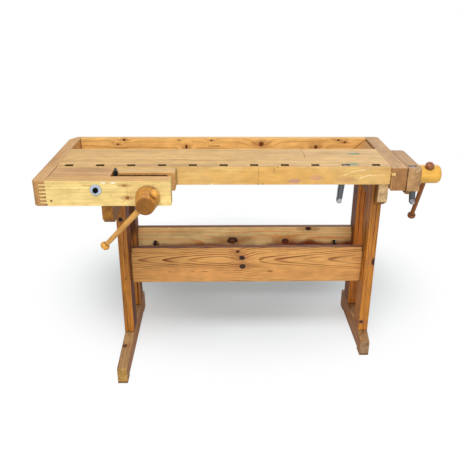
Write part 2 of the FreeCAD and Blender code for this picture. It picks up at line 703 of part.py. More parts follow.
def make_tail_screw():
    """Screw, nut, garter plate and hub of the end vise, turned about X."""
    inner = "slab_right + 6"
    bore = "screw_d / 2 + run_fit"
    nut = revolve(new_body("tail_nut"),
                  [(inner, bore), ("cap_right", bore), ("cap_right", "nut_flange / 2"),
                   ("cap_right - plate_t", "nut_flange / 2"), ("cap_right - plate_t", "tail_nut_d / 2"),
                   (inner, "tail_nut_d / 2")], "H_Axis")
    finish(place(nut, y="tail_y", z="tail_z"), "tail_nut")
    plate = revolve(new_body("tail_garter_plate"),
                    [("jaw_right", "screw_d / 2 + run_fit"), ("jaw_right + washer_t", "screw_d / 2 + run_fit"),
                     ("jaw_right + washer_t", "plate_d / 2"), ("jaw_right", "plate_d / 2")], "H_Axis")
    finish(place(plate, y="tail_y", z="tail_z"), "tail_garter_plate")
    hub_left = "jaw_right + washer_t + play"
    collar = "cap_right + 1"
    screw = revolve(new_body("tail_screw_blank"),
                    [("tail_screw_in", "0"), (hub_left + " + socket_len", "0"),
                     (hub_left + " + socket_len", "head_d / 2"), (hub_left, "head_d / 2"), (hub_left, "screw_d / 2"),
                     (collar + " + collar_t", "screw_d / 2"), (collar + " + collar_t", "collar_d / 2 + 2"),
                     (collar, "collar_d / 2 + 2"), (collar, "screw_d / 2"), ("tail_screw_in + 3", "screw_d / 2"),
                     ("tail_screw_in", "screw_d / 2 - 3")], "H_Axis")
    place(screw, y="tail_y", z="tail_z")
    finish(cut("tail_screw", screw, [bar_bore("tail_screw_bore", "tail")]), "tail_screw")
    round_edge = [("right_end - tail_hub_round * (1 - sin(%d))" % angle,
                   "tail_hub_d / 2 - tail_hub_round * (1 - cos(%d))" % angle) for angle in (0, 25, 50, 75, 90)]
    hub = revolve(new_body("tail_hub_blank"),
                  [(hub_left, "head_d / 2"), (hub_left, "tail_hub_d / 2")] + round_edge
                  + [("right_end", "0"), (hub_left + " + socket_len", "0"),
                     (hub_left + " + socket_len", "head_d / 2")], "H_Axis")
    place(hub, y="tail_y", z="tail_z")
    finish(cut("tail_hub", hub, [bar_bore("tail_hub_bore", "tail")]), "tail_hub")


# ---- bench dogs -------------------------------------------------------------------------

def make_dog(name, x, front, way):
    """Steel dog with a stepped head, a rounded foot and a leaf spring on its shank."""
    side = "-%s" if way < 0 else "%s"
    face, head = side % "dog_side", side % "(dog_side + slot_head)"
    spine = side % "(dog_side - dog_w)"
    low = "-dog_long"
    points = [(spine, low), (face, low), (face, "-dog_head"), (head, "-dog_head"), (head, "-dog_sink"),
              (spine, "-dog_sink")]
    lean = FreeCAD.Placement(FreeCAD.Vector(), FreeCAD.Rotation(FreeCAD.Vector(0, 1, 0), way * SIZES["lean"]))
    body = pad(new_body(name), "XZ_Plane", points, "dog_t", flip=True)
    soften(body, "Fillet", "7", lambda e: abs(e.BoundBox.ZMax + SIZES["dog_long"]) < 0.01 and e.BoundBox.YLength > 1)
    body.Placement = lean
    middle = front + " + (dog_back - dog_front) / 2"
    finish(place(body, x, middle + " - dog_t / 2", "top_z"), name)
    bow = side % "(dog_side - dog_w - leaf_bow)"
    skin = side % "(dog_side - dog_w - leaf_t)"
    bowed = side % "(dog_side - dog_w - leaf_bow - leaf_t)"
    start, end = "-dog_long + 8", "-dog_long + 8 + leaf_long"
    bend = "-dog_long + 8 + leaf_long / 2"
    leaf = pad(new_body(name + "_spring"), "XZ_Plane",
               [(spine, start), (spine, start + " + 14"), (bow, bend), (spine, end), (skin, end), (bowed, bend),
                (skin, start + " + 14"), (skin, start)], "leaf_w", flip=True)
    leaf.Placement = lean
    finish(place(leaf, x, middle + " - leaf_w / 2", "top_z"), name + "_spring")


# ---- trestle ------------------------------------------------------------------------------

# Each frame: side, its sign (outwards), the outer face of its posts, front of
# its bearer and foot, and height of its toe.
FRAMES = (("left", -1, "post_left", "bearer_left_front", "foot_left_front", "toe_left"),
          ("right", 1, "post_right", "bearer_right_front", "foot_right_front", "toe_right"))
ROWS = (("front", "post_front", "stretcher_front"), ("rear", "post_rear", "stretcher_rear"))


def across(outer, sign, near, far):
    """Span of X measured inwards from a frame's outer face."""
    first, second = "%s - %d * (%s)" % (outer, sign, near), "%s - %d * (%s)" % (outer, sign, far)
    return (second, first) if sign > 0 else (first, second)


LAG_PLACES = [("%s + %d * (bearer_out - bearer_w / 2)" % (outer, sign), y)
              for _, sign, outer, *_ in FRAMES for y in ("68", "135")]


def tenon_spans(outer, sign, front):
    """Spans in X and Y of the tenon under a post."""
    margin = front + " + (post_deep - tenon_deep) / 2"
    return (across(outer, sign, "(post_w - tenon_w) / 2", "(post_w + tenon_w) / 2"),
            (margin, margin + " + tenon_deep"))


def lap_screws(outer, sign, front):
    """Left end and place of the two wood screws through bearer and post."""
    start = across(outer, sign, "-bearer_out", "wood_screw_long - bearer_out")[0]
    return [(start, front + " + post_deep / 2", level) for level in ("bearer_z + 30", "slab_z - 22")]


def make_post(side, sign, outer, row, front, face):
    """Post with a tenon below, a lap for the bearer above and a housing for the stretcher."""
    name = "post_%s_%s" % (side, row)
    shank = box(name + "_shank", across(outer, sign, "0", "post_w"), (front, front + " + post_deep"),
                ("foot_z", "slab_z"))
    tenon = box(name + "_tenon", *tenon_spans(outer, sign, front), ("foot_z - tenon_long", "foot_z"))
    whole = doc.addObject("Part::MultiFuse", name + "_whole")
    whole.Shapes = [shank, tenon]
    lap = box(name + "_lap", across(outer, sign, "-1", "post_w - lap_inner"),
              (front + " - 1", front + " + post_deep + 1"), ("bearer_z", "slab_z + 1"))
    housing = box(name + "_housing", across(outer, sign, "post_w - housing", "post_w + 1"),
                  (face, face + " + stretcher_t"), ("stretcher_low", "stretcher_top"))
    bolt = cylinder(name + "_bolt_bore", "X", "rod_bolt_d + 1", "post_w", across(outer, sign, "0", "post_w")[0],
                    face + " + stretcher_t / 2", "(stretcher_low + stretcher_top) / 2")
    bores = [cylinder("%s_screw_%d" % (name, i), "X", "wood_screw_d", "wood_screw_long", *spot)
             for i, spot in enumerate(lap_screws(outer, sign, front))]
    finish(cut(name, whole, [lap, housing, bolt] + bores), name)


def make_bearer(side, sign, outer, front):
    """Bearer lapped round both posts, with sloping cuts under its ends; the left one drops under the vise beam."""
    name = "bearer_" + side
    x = across(outer, sign, "-bearer_out", "bearer_w - bearer_out")
    step = [("rail_front", "slab_z"), ("rail_front", "cap_z"), (front, "cap_z")]
    run = "run_" + side
    points = [(front, "bearer_z + bearer_rise"), (front + " + " + run, "bearer_z"),
              ("bearer_back - " + run, "bearer_z"), ("bearer_back", "bearer_z + bearer_rise"),
              ("bearer_back", "slab_z")] + (step if side == "left" else [(front, "slab_z")])
    blank = pad(new_body(name + "_blank"), "YZ_Plane", points, "bearer_w")
    place(blank, x=x[0])
    tools = []
    for row, post, _ in ROWS:
        tools.append(box("%s_notch_%s" % (name, row), across(outer, sign, "post_w - lap_inner", "post_w + 1"),
                         (post, post + " + post_deep"), ("bearer_z - 1", "slab_z + 1")))
        tools += [cylinder("%s_%s_bore_%d" % (name, row, i), "X", "wood_screw_d", "wood_screw_long", *spot)
                  for i, spot in enumerate(lap_screws(outer, sign, post))]
    for i, (lx, ly) in enumerate(LAG_PLACES[:2] if side == "left" else LAG_PLACES[2:]):
        tools.append(cylinder("%s_lag_%d" % (name, i), "Z", "lag_d", "slab_z - bearer_z", lx, ly, "bearer_z"))
    finish(cut(name, blank, tools), name)


def make_foot(side, sign, outer, front, toe):
    """Foot with a sloping toe, a rounded heel and two mortises."""
    name = "foot_" + side
    body = new_body(name + "_blank")
    pad(body, "YZ_Plane", [(front, "pad_t"), ("foot_back", "pad_t"), ("foot_back", "foot_z"),
                           ("post_front", "foot_z"), (front, toe)], "post_w")
    soften(body, "Fillet", "heel_r",
           lambda e: abs(e.BoundBox.YMin - SIZES["foot_back"]) < 0.01 and abs(e.BoundBox.ZMin - SIZES["foot_z"]) < 0.01)
    place(body, x=across(outer, sign, "0", "post_w")[0])
    mortises = [box("%s_mortise_%s" % (name, row), *tenon_spans(outer, sign, post),
                    ("foot_z - tenon_long", "foot_z + 1")) for row, post, _ in ROWS]
    finish(cut(name, body, mortises), name)


def make_foot_pads():
    pads = []
    for side, sign, outer, _, front, _ in FRAMES:
        x = across(outer, sign, "0", "post_w")
        pads.append(box("pad_%s_toe" % side, x, (front, front + " + pad_len"), ("0", "pad_t")))
        pads.append(box("pad_%s_heel" % side, x, ("foot_back - pad_len", "foot_back"), ("0", "pad_t")))
    finish(group("foot_pads", pads), "foot_pads")


def make_stretcher(row, face):
    """Stretcher between the posts, with round pockets for the bolts' nuts."""
    name = "stretcher_" + row
    start, end = "post_left + post_w - housing", "post_right - post_w + housing"
    body = pad(new_body(name), "XZ_Plane", rect(start, end, "stretcher_low", "stretcher_top"), "stretcher_t",
               flip=True)
    level = "(stretcher_low + stretcher_top) / 2"
    pockets = [("post_left + post_w + pocket_in", level, "pocket_d"),
               ("post_right - post_w - pocket_in", level, "pocket_d")]
    if row == "front":
        pocket(body, "XZ_Plane", "pocket_deep", circles=pockets, offset="-stretcher_t", flip=True)
    else:
        pocket(body, "XZ_Plane", "pocket_deep", circles=pockets)
    kerfs = [rect(x, x + " + kerf_w", "stretcher_top - kerf_deep", "stretcher_top + 1")
             for x in ("post_left + post_w", "post_right - post_w - kerf_w")]
    pocket(body, "XZ_Plane", "stretcher_t", outlines=kerfs)
    for x in (start, end + " - pocket_in - housing"):
        outline = rect(x, x + " + pocket_in + housing", level + " - (rod_bolt_d + 1) / 2",
                       level + " + (rod_bolt_d + 1) / 2")
        pocket(body, "XZ_Plane", "rod_bolt_d + 1", outlines=[outline], offset="-(stretcher_t - rod_bolt_d - 1) / 2")
    finish(place(body, y=face), name)


def make_stretcher_bolts():
    """Bolts with washers and nuts that pull each stretcher against the posts."""
    bolts, washers, nuts = [], [], []
    level = "(stretcher_low + stretcher_top) / 2"
    for side, sign, outer, *_ in FRAMES:
        for row, _, face in ROWS:
            tag = "%s_%s" % (side, row)
            y = face + " + stretcher_t / 2"
            outside = "%s + %d * washer_t" % (outer, sign)
            tip = "%s - %d * (post_w + pocket_in + 8)" % (outer, sign)
            low, high = (outside, tip) if sign < 0 else (tip, outside)
            shank = cylinder("bolt_shank_" + tag, "X", "rod_bolt_d", "(%s) - (%s)" % (high, low), low, y, level)
            head_x = outside + " - bolt_head_t" if sign < 0 else outside
            head = cylinder("bolt_head_" + tag, "X", "bolt_head", "bolt_head_t", head_x, y, level)
            bolt = doc.addObject("Part::MultiFuse", "bolt_" + tag)
            bolt.Shapes = [shank, head]
            bolts.append(bolt)
            disc_x = outer + " - washer_t" if sign < 0 else outer
            disc = cylinder("bolt_disc_" + tag, "X", "bolt_washer", "washer_t", disc_x, y, level)
            hole = cylinder("bolt_disc_hole_" + tag, "X", "rod_bolt_d + 1", "washer_t", disc_x, y, level)
            washers.append(cut("bolt_washer_" + tag, disc, [hole]))
            nut_x = "%s - %d * (post_w + pocket_in - 4)" % (outer, sign)
            nut = box("bolt_nut_" + tag, (nut_x + " - 4", nut_x + " + 4"), (y + " - 6.5", y + " + 6.5"),
                      (level + " - 8", level + " + 8"))
            bore = cylinder("bolt_nut_hole_" + tag, "X", "rod_bolt_d", "8", nut_x + " - 4", y, level)
            nuts.append(cut("bolt_square_nut_" + tag, nut, [bore]))
    finish(group("stretcher_bolts", bolts), "stretcher_bolts")
    finish(group("stretcher_washers", washers), "stretcher_washers")
    finish(group("stretcher_nuts", nuts), "stretcher_nuts")


def make_wood_screws():
    """Screws through the laps, and lag screws up into the slab."""
    laps = [cylinder("lap_screw_%s_%s_%d" % (side, row, i), "X", "wood_screw_d", "wood_screw_long", *spot)
            for side, sign, outer, *_ in FRAMES for row, post, _ in ROWS
            for i, spot in enumerate(lap_screws(outer, sign, post))]
    lags = [cylinder("lag_screw_%d" % i, "Z", "lag_d", "slab_z - bearer_z + lag_in", x, y, "bearer_z")
            for i, (x, y) in enumerate(LAG_PLACES)]
    finish(group("lap_screws", laps), "lap_screws")
    finish(group("lag_screws", lags), "lag_screws")


make_slab()
make_front_rail()
make_dog_strip()
make_left_cap()
make_right_cap()
make_tray()
make_fixed_block()
make_beam()
make_beam_bolt()
make_chop()
make_guide_shoe()
make_front_screw()
make_bar("front")
make_jaw()
make_tail_screw()
make_bar("tail")
make_dog("bench_dog", "dog_first + dog_hole * dog_pitch", "dog_front", 1)
make_dog("jaw_dog", "jaw_dog_x", "jaw_dog_front", -1)
for frame_side, frame_sign, frame_outer, bearer_front, foot_front, toe_height in FRAMES:
    for row_name, row_front, stretcher_face in ROWS:
        make_post(frame_side, frame_sign, frame_outer, row_name, row_front, stretcher_face)
    make_bearer(frame_side, frame_sign, frame_outer, bearer_front)
    make_foot(frame_side, frame_sign, frame_outer, foot_front, toe_height)
make_foot_pads()
for row_name, _, stretcher_face in ROWS:
    make_stretcher(row_name, stretcher_face)
make_stretcher_bolts()
make_wood_screws()

doc.recompute()
for obj in doc.Objects:
    if "Invalid" in obj.State or "Error" in obj.State:
        raise ValueError("%s failed: %s" % (obj.Label, obj.State))
for part in PARTS:
    if part.Shape.isNull() or not part.Shape.isValid():
        raise ValueError("no valid shape in " + part.Label)
os.makedirs("parts", exist_ok=True)
for part in PARTS:
    part.Shape.exportStep("parts/%s.step" % part.Label)
print(len(PARTS), "parts")
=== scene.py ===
import math

import bmesh
import bpy
from mathutils import Matrix, Vector


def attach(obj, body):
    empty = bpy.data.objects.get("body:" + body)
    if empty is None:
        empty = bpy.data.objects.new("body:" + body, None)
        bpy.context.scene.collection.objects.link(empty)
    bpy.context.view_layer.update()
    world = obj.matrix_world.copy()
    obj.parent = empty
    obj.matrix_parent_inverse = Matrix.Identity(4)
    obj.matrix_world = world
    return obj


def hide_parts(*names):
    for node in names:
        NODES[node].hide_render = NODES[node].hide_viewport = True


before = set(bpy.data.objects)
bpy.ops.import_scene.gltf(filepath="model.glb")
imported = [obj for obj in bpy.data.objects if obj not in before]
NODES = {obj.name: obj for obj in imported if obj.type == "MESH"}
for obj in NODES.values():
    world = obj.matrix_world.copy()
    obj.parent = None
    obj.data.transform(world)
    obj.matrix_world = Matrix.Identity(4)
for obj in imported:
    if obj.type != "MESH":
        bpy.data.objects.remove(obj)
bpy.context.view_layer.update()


# ---- Camera -----------------------------------------------------------------
# A normal lens at standing height in front of the bench, turned slightly to
# the right and tipped down on to the bench top.


def added(name, data):
    """A new object in the scene."""
    made = bpy.data.objects.new(name, data)
    bpy.context.scene.collection.objects.link(made)
    return made


camera = added("camera", bpy.data.cameras.new("camera"))
camera.data.sensor_width = 36
camera.data.lens = 47.0
camera.data.shift_x = -0.0130
camera.data.shift_y = 0.0343
camera.data.clip_end = 200
stands_at, turned_right, tipped_down, rolled = (-0.1028, -2.304, 1.5069), 1.6, 24.1, 0.4
camera.matrix_world = (
    Matrix.Translation(stands_at)
    @ Matrix.Rotation(math.radians(-turned_right), 4, "Z")
    @ Matrix.Rotation(math.radians(90 - tipped_down), 4, "X")
    @ Matrix.Rotation(math.radians(rolled), 4, "Z")
)
bpy.context.scene.camera = camera
bpy.context.scene.view_settings.view_transform = "Standard"


# ---- Studio -----------------------------------------------------------------
# A pale floor, a white surround and soft lamps. The floor turns into a white
# backdrop a few steps away and keeps the bench's own soft shadow.


def tint(code):
    """Linear colour of a hexadecimal screen colour."""
    parts = [int(code[i:i + 2], 16) / 255 for i in (0, 2, 4)]
    return (*[p / 12.92 if p < 0.04045 else ((p + 0.055) / 1.055) ** 2.4 for p in parts], 1)


def feed(tree, socket, value):
    """Gives an input a plain value or another node's output."""
    if isinstance(value, bpy.types.NodeSocket):
        tree.links.new(value, socket)
    else:
        socket.default_value = value


def node(tree, kind, inputs=None, **settings):
    """Adds a node; a kind without the word Node is one of the shader nodes."""
    made = tree.nodes.new(kind if "Node" in kind else "ShaderNode" + kind)
    for name, value in settings.items():
        setattr(made, name, value)
    for key, value in (inputs or {}).items():
        feed(tree, made.inputs[key], value)
    return made


def maths(tree, operation, *values):
    return node(tree, "Math", dict(enumerate(values)), operation=operation).outputs[0]


def times(tree, first, second):
    return maths(tree, "MULTIPLY", first, second)


def plus(tree, first, second):
    return maths(tree, "ADD", first, second)


def rest_of(tree, value):
    """What is left of one."""
    return maths(tree, "SUBTRACT", 1, value)


def vectors(tree, operation, *values):
    """A vector sum of one kind; lengths, dot products and distances come back as plain values."""
    made = node(tree, "VectorMath", dict(enumerate(values)), operation=operation)
    return made.outputs["Value" if operation in ("LENGTH", "DOT_PRODUCT", "DISTANCE") else "Vector"]


def scaled(tree, vector, factor):
    return node(tree, "VectorMath", {0: vector, "Scale": factor}, operation="SCALE").outputs["Vector"]


def step_up(tree, value, low, high):
    """Rises smoothly from nought at low to one at high."""
    return node(tree, "MapRange", {"Value": value, "From Min": low, "From Max": high},
                interpolation_type="SMOOTHSTEP").outputs[0]


def material_named(name):
    """An empty material and its node tree."""
    made = bpy.data.materials.new(name)
    made.use_nodes = True
    made.node_tree.nodes.clear()
    return made, made.node_tree


shadow_centre, shadow_shape, shadow_ends = (0, 0.66, 0), (1.35, 1.55, 0), (0.38, 1.55)
floor_material, tree = material_named("studio_floor")
lit = node(tree, "BsdfDiffuse", {"Color": (0.75, 0.75, 0.75, 1)})
seen = node(tree, "BsdfDiffuse", {"Color": (0.77, 0.84, 0.875, 1)})
glow = node(tree, "Emission", {"Color": (1, 1, 1, 1), "Strength": 0.02})
near = node(tree, "AddShader", {0: seen.outputs[0], 1: glow.outputs[0]})
white = node(tree, "Emission", {"Color": (1, 1, 1, 1), "Strength": 1.0})
away = vectors(tree, "SUBTRACT", node(tree, "TexCoord").outputs["Object"], shadow_centre)
away = vectors(tree, "LENGTH", vectors(tree, "MULTIPLY", away, shadow_shape))
faded = step_up(tree, away, *shadow_ends)
shown = node(tree, "MixShader", {0: faded, 1: near.outputs[0], 2: white.outputs[0]})
to_camera = node(tree, "LightPath").outputs["Is Camera Ray"]
floor_shader = node(tree, "MixShader", {0: to_camera, 1: lit.outputs[0], 2: shown.outputs[0]})
node(tree, "OutputMaterial", {"Surface": floor_shader.outputs[0]})

floor_mesh = bpy.data.meshes.new("studio_floor")
reach = 60
floor_corners = [(-reach, -reach, 0), (reach, -reach, 0), (reach, reach, 0), (-reach, reach, 0)]
floor_mesh.from_pydata(floor_corners, [], [(0, 1, 2, 3)])
floor_mesh.materials.append(floor_material)
floor = added("studio_floor", floor_mesh)
just_under_the_pads = -0.0005
floor.location.z = just_under_the_pads

surround = bpy.data.worlds.new("surround")
surround.use_nodes = True
tree = surround.node_tree
tree.nodes.clear()
path = node(tree, "LightPath")
shown = maths(tree, "MAXIMUM", path.outputs["Is Camera Ray"],
              maths(tree, "MAXIMUM", path.outputs["Is Glossy Ray"], path.outputs["Is Transmission Ray"]))
as_light, as_seen = 0.32, 1.0
level = node(tree, "MapRange", {"Value": shown, "To Min": as_light, "To Max": as_seen})
sky = node(tree, "Background", {"Color": (1, 1, 1, 1), "Strength": level.outputs[0]})
node(tree, "OutputWorld", {"Surface": sky.outputs[0]})
bpy.context.scene.world = surround

lamps = (("lamp_high_front", (-0.5, -1.9, 3.9), (0, 0, 0.6), 1.4, 82),
         ("lamp_low_front", (0.4, -3.6, 1.6), (0, 0, 0.7), 2.5, 56),
         ("lamp_back", (1.5, 3.0, 2.5), (0, 0, 0.6), 2.5, 20))
for lamp_name, place, aim, size, power in lamps:
    lamp = bpy.data.lights.new(lamp_name, "AREA")
    lamp.size = size
    lamp.energy = power
    holder = added(lamp_name, lamp)
    holder.location = place
    holder.rotation_euler = (Vector(aim) - Vector(place)).to_track_quat("-Z", "Y").to_euler()


# ---- Bench top: slab, dog hole strip and front rail ---------------------------
# Strips of beech glued edge to edge, planed flat and oiled. The blocks between
# the dog holes are glued in behind the front rail, which is two lengths butted.


def new_group(name, inputs, outputs):
    """Shader group with named sockets; returns it with its input and output nodes."""
    group = bpy.data.node_groups.new(name, "ShaderNodeTree")
    for label, kind, value in inputs:
        socket = group.interface.new_socket(label, in_out="INPUT", socket_type="NodeSocket" + kind)
        if value is not None:
            socket.default_value = value
    for label, kind in outputs:
        group.interface.new_socket(label, in_out="OUTPUT", socket_type="NodeSocket" + kind)
    return group, group.nodes.new("NodeGroupInput").outputs, group.nodes.new("NodeGroupOutput").inputs


def use_group(tree, group, inputs):
    """Puts a shared group into a tree and returns its outputs."""
    made = tree.nodes.new("ShaderNodeGroup")
    made.node_tree = group
    for key, value in inputs.items():
        feed(tree, made.inputs[key], value)
    return made.outputs


def blend_colour(tree, amount, first, second, mode="MIX"):
    """Mixes two colours; the node keeps its colour sockets behind those for numbers and vectors."""
    made = node(tree, "Mix", data_type="RGBA", blend_type=mode)
    factor, colour_a, colour_b, result = 0, 6, 7, 2
    for socket, value in ((factor, amount), (colour_a, first), (colour_b, second)):
        feed(tree, made.inputs[socket], value)
    return made.outputs[result]


def noise(tree, place, stretch, detail=2, output="Fac"):
    """Soft noise with so many waves a metre each way."""
    stretched = vectors(tree, "MULTIPLY", place, stretch)
    return node(tree, "TexNoise", {"Vector": stretched, "Scale": 1, "Detail": detail}).outputs[output]


def spread(tree, value, amount):
    """A noise value turned into a swing of the given size round nought."""
    return times(tree, maths(tree, "SUBTRACT", value, 0.5), amount)


# Growth rings round a heart line, with fibres along X. Place is in metres.
# Taper narrows the trunk along X, which draws pointed flames on a flat face.
figure, g_in, g_out = new_group(
    "timber_figure",
    [("Place", "Vector", None), ("Heart", "Vector", (0, -0.2, -0.3)), ("Ring width", "Float", 0.006),
     ("Taper", "Float", 0), ("Sway", "Float", 0.02), ("Swirl", "Float", 0), ("Contrast", "Float", 0.6),
     ("Streak", "Float", 0.3), ("Fleck", "Float", 0.3), ("Drift", "Float", 0.3),
     ("Early", "Color", (1, 1, 1, 1)), ("Late", "Color", (0.3, 0.2, 0.1, 1))],
    [("Color", "Color"), ("Relief", "Float")])
tree = figure
sway_waves, band_waves, fibre_waves = (1.3, 6, 6), (2, 60, 60), (14, 420, 420)
streak_waves, drift_waves = (2.5, 110, 110), (2.2, 9, 9)
middle_tone = 0.18
bend = vectors(tree, "SUBTRACT", noise(tree, g_in["Place"], sway_waves, 2, "Color"), (0.5, 0.5, 0.5))
bend = scaled(tree, bend, g_in["Sway"])
spot = vectors(tree, "SUBTRACT", vectors(tree, "ADD", g_in["Place"], bend), g_in["Heart"])
across = vectors(tree, "LENGTH", vectors(tree, "MULTIPLY", spot, (0, 1, 1)))
along = node(tree, "SeparateXYZ", {0: g_in["Place"]}).outputs[0]
rings = plus(tree, maths(tree, "DIVIDE", across, g_in["Ring width"]), g_in["Swirl"])
rings = plus(tree, rings, times(tree, along, g_in["Taper"]))
turn = maths(tree, "FRACT", rings)
late_wood = times(tree, step_up(tree, turn, 0.45, 0.92), rest_of(tree, step_up(tree, turn, 0.95, 1.0)))
year = node(tree, "TexWhiteNoise", {"W": maths(tree, "FLOOR", rings)}, noise_dimensions="1D").outputs["Value"]
year = node(tree, "MapRange", {"Value": year, "To Min": 0.15, "To Max": 1.2}).outputs[0]
late_wood = times(tree, late_wood, year)
late_wood = times(tree, late_wood, step_up(tree, noise(tree, g_in["Place"], band_waves), 0.25, 0.6))
fibre = noise(tree, g_in["Place"], fibre_waves, 3)
tone = times(tree, late_wood, g_in["Contrast"])
for swing, amount in ((fibre, "Fleck"), (noise(tree, g_in["Place"], streak_waves, 3), "Streak"),
                      (noise(tree, g_in["Place"], drift_waves, 3), "Drift")):
    tone = plus(tree, tone, spread(tree, swing, g_in[amount]))
tone = node(tree, "Clamp", {"Value": plus(tree, tone, middle_tone)}).outputs[0]
tree.links.new(blend_colour(tree, tone, g_in["Early"], g_in["Late"]), g_out["Color"])
tree.links.new(plus(tree, times(tree, late_wood, 0.5), fibre), g_out["Relief"])

# One knot: it swells the rings round it and has a dark core and a reddish halo.
knot, g_in, g_out = new_group(
    "knot",
    [("Place", "Vector", None), ("Centre", "Vector", (0, 0, 0)), ("Size", "Vector", (0.01, 0.01, 0.01)),
     ("Swirl", "Float", 0), ("Color", "Color", (1, 1, 1, 1)), ("Core", "Color", (0.03, 0.01, 0.005, 1)),
     ("Halo", "Color", (0.35, 0.13, 0.04, 1)), ("Eye", "Color", (0.20, 0.06, 0.02, 1)),
     ("Open", "Float", 0)],
    [("Swirl", "Float"), ("Color", "Color")])
tree = knot
drawn_out = (0.45, 1, 1)
rough = node(tree, "TexNoise", {"Vector": g_in["Place"], "Scale": 140, "Detail": 2}).outputs["Fac"]
away = vectors(tree, "SUBTRACT", g_in["Place"], g_in["Centre"])
long_away = vectors(tree, "DIVIDE", vectors(tree, "MULTIPLY", away, drawn_out), g_in["Size"])
long_away = vectors(tree, "LENGTH", long_away)
away = vectors(tree, "LENGTH", vectors(tree, "DIVIDE", away, g_in["Size"]))
away = plus(tree, away, spread(tree, rough, 0.5))
long_away = plus(tree, long_away, spread(tree, rough, 0.9))
swell = maths(tree, "EXPONENT", times(tree, times(tree, long_away, long_away), -0.22))
tree.links.new(plus(tree, g_in["Swirl"], times(tree, swell, 1.6)), g_out["Swirl"])
core = rest_of(tree, step_up(tree, away, 0.75, 1.1))
eye = times(tree, rest_of(tree, step_up(tree, away, 0.25, 0.7)), g_in["Open"])
halo = times(tree, rest_of(tree, step_up(tree, long_away, 0.8, 2.2)), 0.5)
coloured = blend_colour(tree, halo, g_in["Color"], g_in["Halo"])
coloured = blend_colour(tree, core, coloured, g_in["Core"])
tree.links.new(blend_colour(tree, eye, coloured, g_in["Eye"]), g_out["Color"])

# A patch of another colour with a ragged edge: a stain, a rubbed patch, a painted shadow or a painted
# highlight.
blot, g_in, g_out = new_group(
    "blot",
    [("Place", "Vector", None), ("Color", "Color", (1, 1, 1, 1)), ("Centre", "Vector", (0, 0, 0)),
     ("Size", "Vector", (0.01, 0.01, 0.01)), ("Stain", "Color", (0.2, 0.4, 0.2, 1)),
     ("Strength", "Float", 0.5)],
    [("Color", "Color")])
tree = blot
raggedness = maths(tree, "DIVIDE", 2.5, vectors(tree, "LENGTH", g_in["Size"]))
ragged = node(tree, "TexNoise", {"Vector": g_in["Place"], "Scale": raggedness, "Detail": 4})
away = vectors(tree, "SUBTRACT", g_in["Place"], g_in["Centre"])
away = vectors(tree, "LENGTH", vectors(tree, "DIVIDE", away, g_in["Size"]))
away = plus(tree, away, spread(tree, ragged.outputs["Fac"], 1.5))
cover = times(tree, rest_of(tree, step_up(tree, away, 0.45, 1.1)), g_in["Strength"])
tree.links.new(blend_colour(tree, cover, g_in["Color"], g_in["Stain"]), g_out["Color"])

# A crack, a scratch or a saw mark from one place to another, bowed if wished. It also draws painted shadow
# lines.
score, g_in, g_out = new_group(
    "score_line",
    [("Place", "Vector", None), ("Color", "Color", (1, 1, 1, 1)), ("From", "Vector", (0, 0, 0)),
     ("To", "Vector", (0.1, 0, 0)), ("Bow", "Vector", (0, 0, 0)), ("Width", "Float", 0.001),
     ("Ink", "Color", (0.05, 0.03, 0.01, 1)), ("Strength", "Float", 0.8)],
    [("Color", "Color")])
tree = score
reach_to = vectors(tree, "SUBTRACT", g_in["To"], g_in["From"])
reach_here = vectors(tree, "SUBTRACT", g_in["Place"], g_in["From"])
share = maths(tree, "DIVIDE", vectors(tree, "DOT_PRODUCT", reach_here, reach_to),
              vectors(tree, "DOT_PRODUCT", reach_to, reach_to))
share = node(tree, "Clamp", {"Value": share}).outputs[0]
arch = times(tree, times(tree, share, rest_of(tree, share)), 4)
line = vectors(tree, "ADD", scaled(tree, reach_to, share), scaled(tree, g_in["Bow"], arch))
away = maths(tree, "DIVIDE", vectors(tree, "DISTANCE", reach_here, line), g_in["Width"])
grit = node(tree, "TexNoise", {"Vector": g_in["Place"], "Scale": 300, "Detail": 2}).outputs["Fac"]
away = plus(tree, away, spread(tree, grit, 1.4))
cover = times(tree, rest_of(tree, step_up(tree, away, 0.35, 0.8)), g_in["Strength"])
tree.links.new(blend_colour(tree, cover, g_in["Color"], g_in["Ink"]), g_out["Color"])

# Faces that look one way are tinted apart from the others: the wood's own tone on some faces, painted shade
# on faces that lie in shade, and partly painted light on a face fully in the light.
facing, g_in, g_out = new_group(
    "facing_tint",
    [("Color", "Color", (1, 1, 1, 1)), ("Direction", "Vector", (0, 0, 1)),
     ("Stain", "Color", (0.8, 0.7, 0.6, 1)), ("Strength", "Float", 1.0)],
    [("Color", "Color")])
tree = facing
toward = vectors(tree, "DOT_PRODUCT", node(tree, "TexCoord").outputs["Normal"], g_in["Direction"])
cover = times(tree, step_up(tree, toward, 0.55, 0.85), g_in["Strength"])
tree.links.new(blend_colour(tree, cover, g_in["Color"], g_in["Stain"], "MULTIPLY"), g_out["Color"])

# Years of handling: edges rubbed paler, grime in patches, dents, cuts and specks. The paler edges are partly
# a painted highlight, and corners and crevices get painted shade.
wear_and_light, g_in, g_out = new_group(
    "handling_wear_and_light",
    [("Place", "Vector", None), ("Color", "Color", (1, 1, 1, 1)), ("Edge", "Float", 0.5),
     ("Grime", "Float", 0.4), ("Mottle", "Float", 0.5), ("Cuts", "Float", 0.3), ("Seam", "Float", 0.7),
     ("Dirt", "Color", (0.2, 0.12, 0.05, 1)), ("Rubbed and lit", "Color", (0.9, 0.7, 0.4, 1))],
    [("Color", "Color"), ("Roughness", "Float"), ("Dents", "Float")])
tree = wear_and_light
smudge_waves, mottle_waves = (5, 16, 16), (22, 48, 48)
slash_waves, speck_waves = (34, 190, 190), (45, 160, 160)
crevice_shade_colour = (0.018, 0.008, 0.003, 1)
eased = node(tree, "Bevel", {"Radius": 0.003}, samples=4)
face = node(tree, "NewGeometry")
corner = rest_of(tree, vectors(tree, "DOT_PRODUCT", eased.outputs[0], face.outputs["Normal"]))
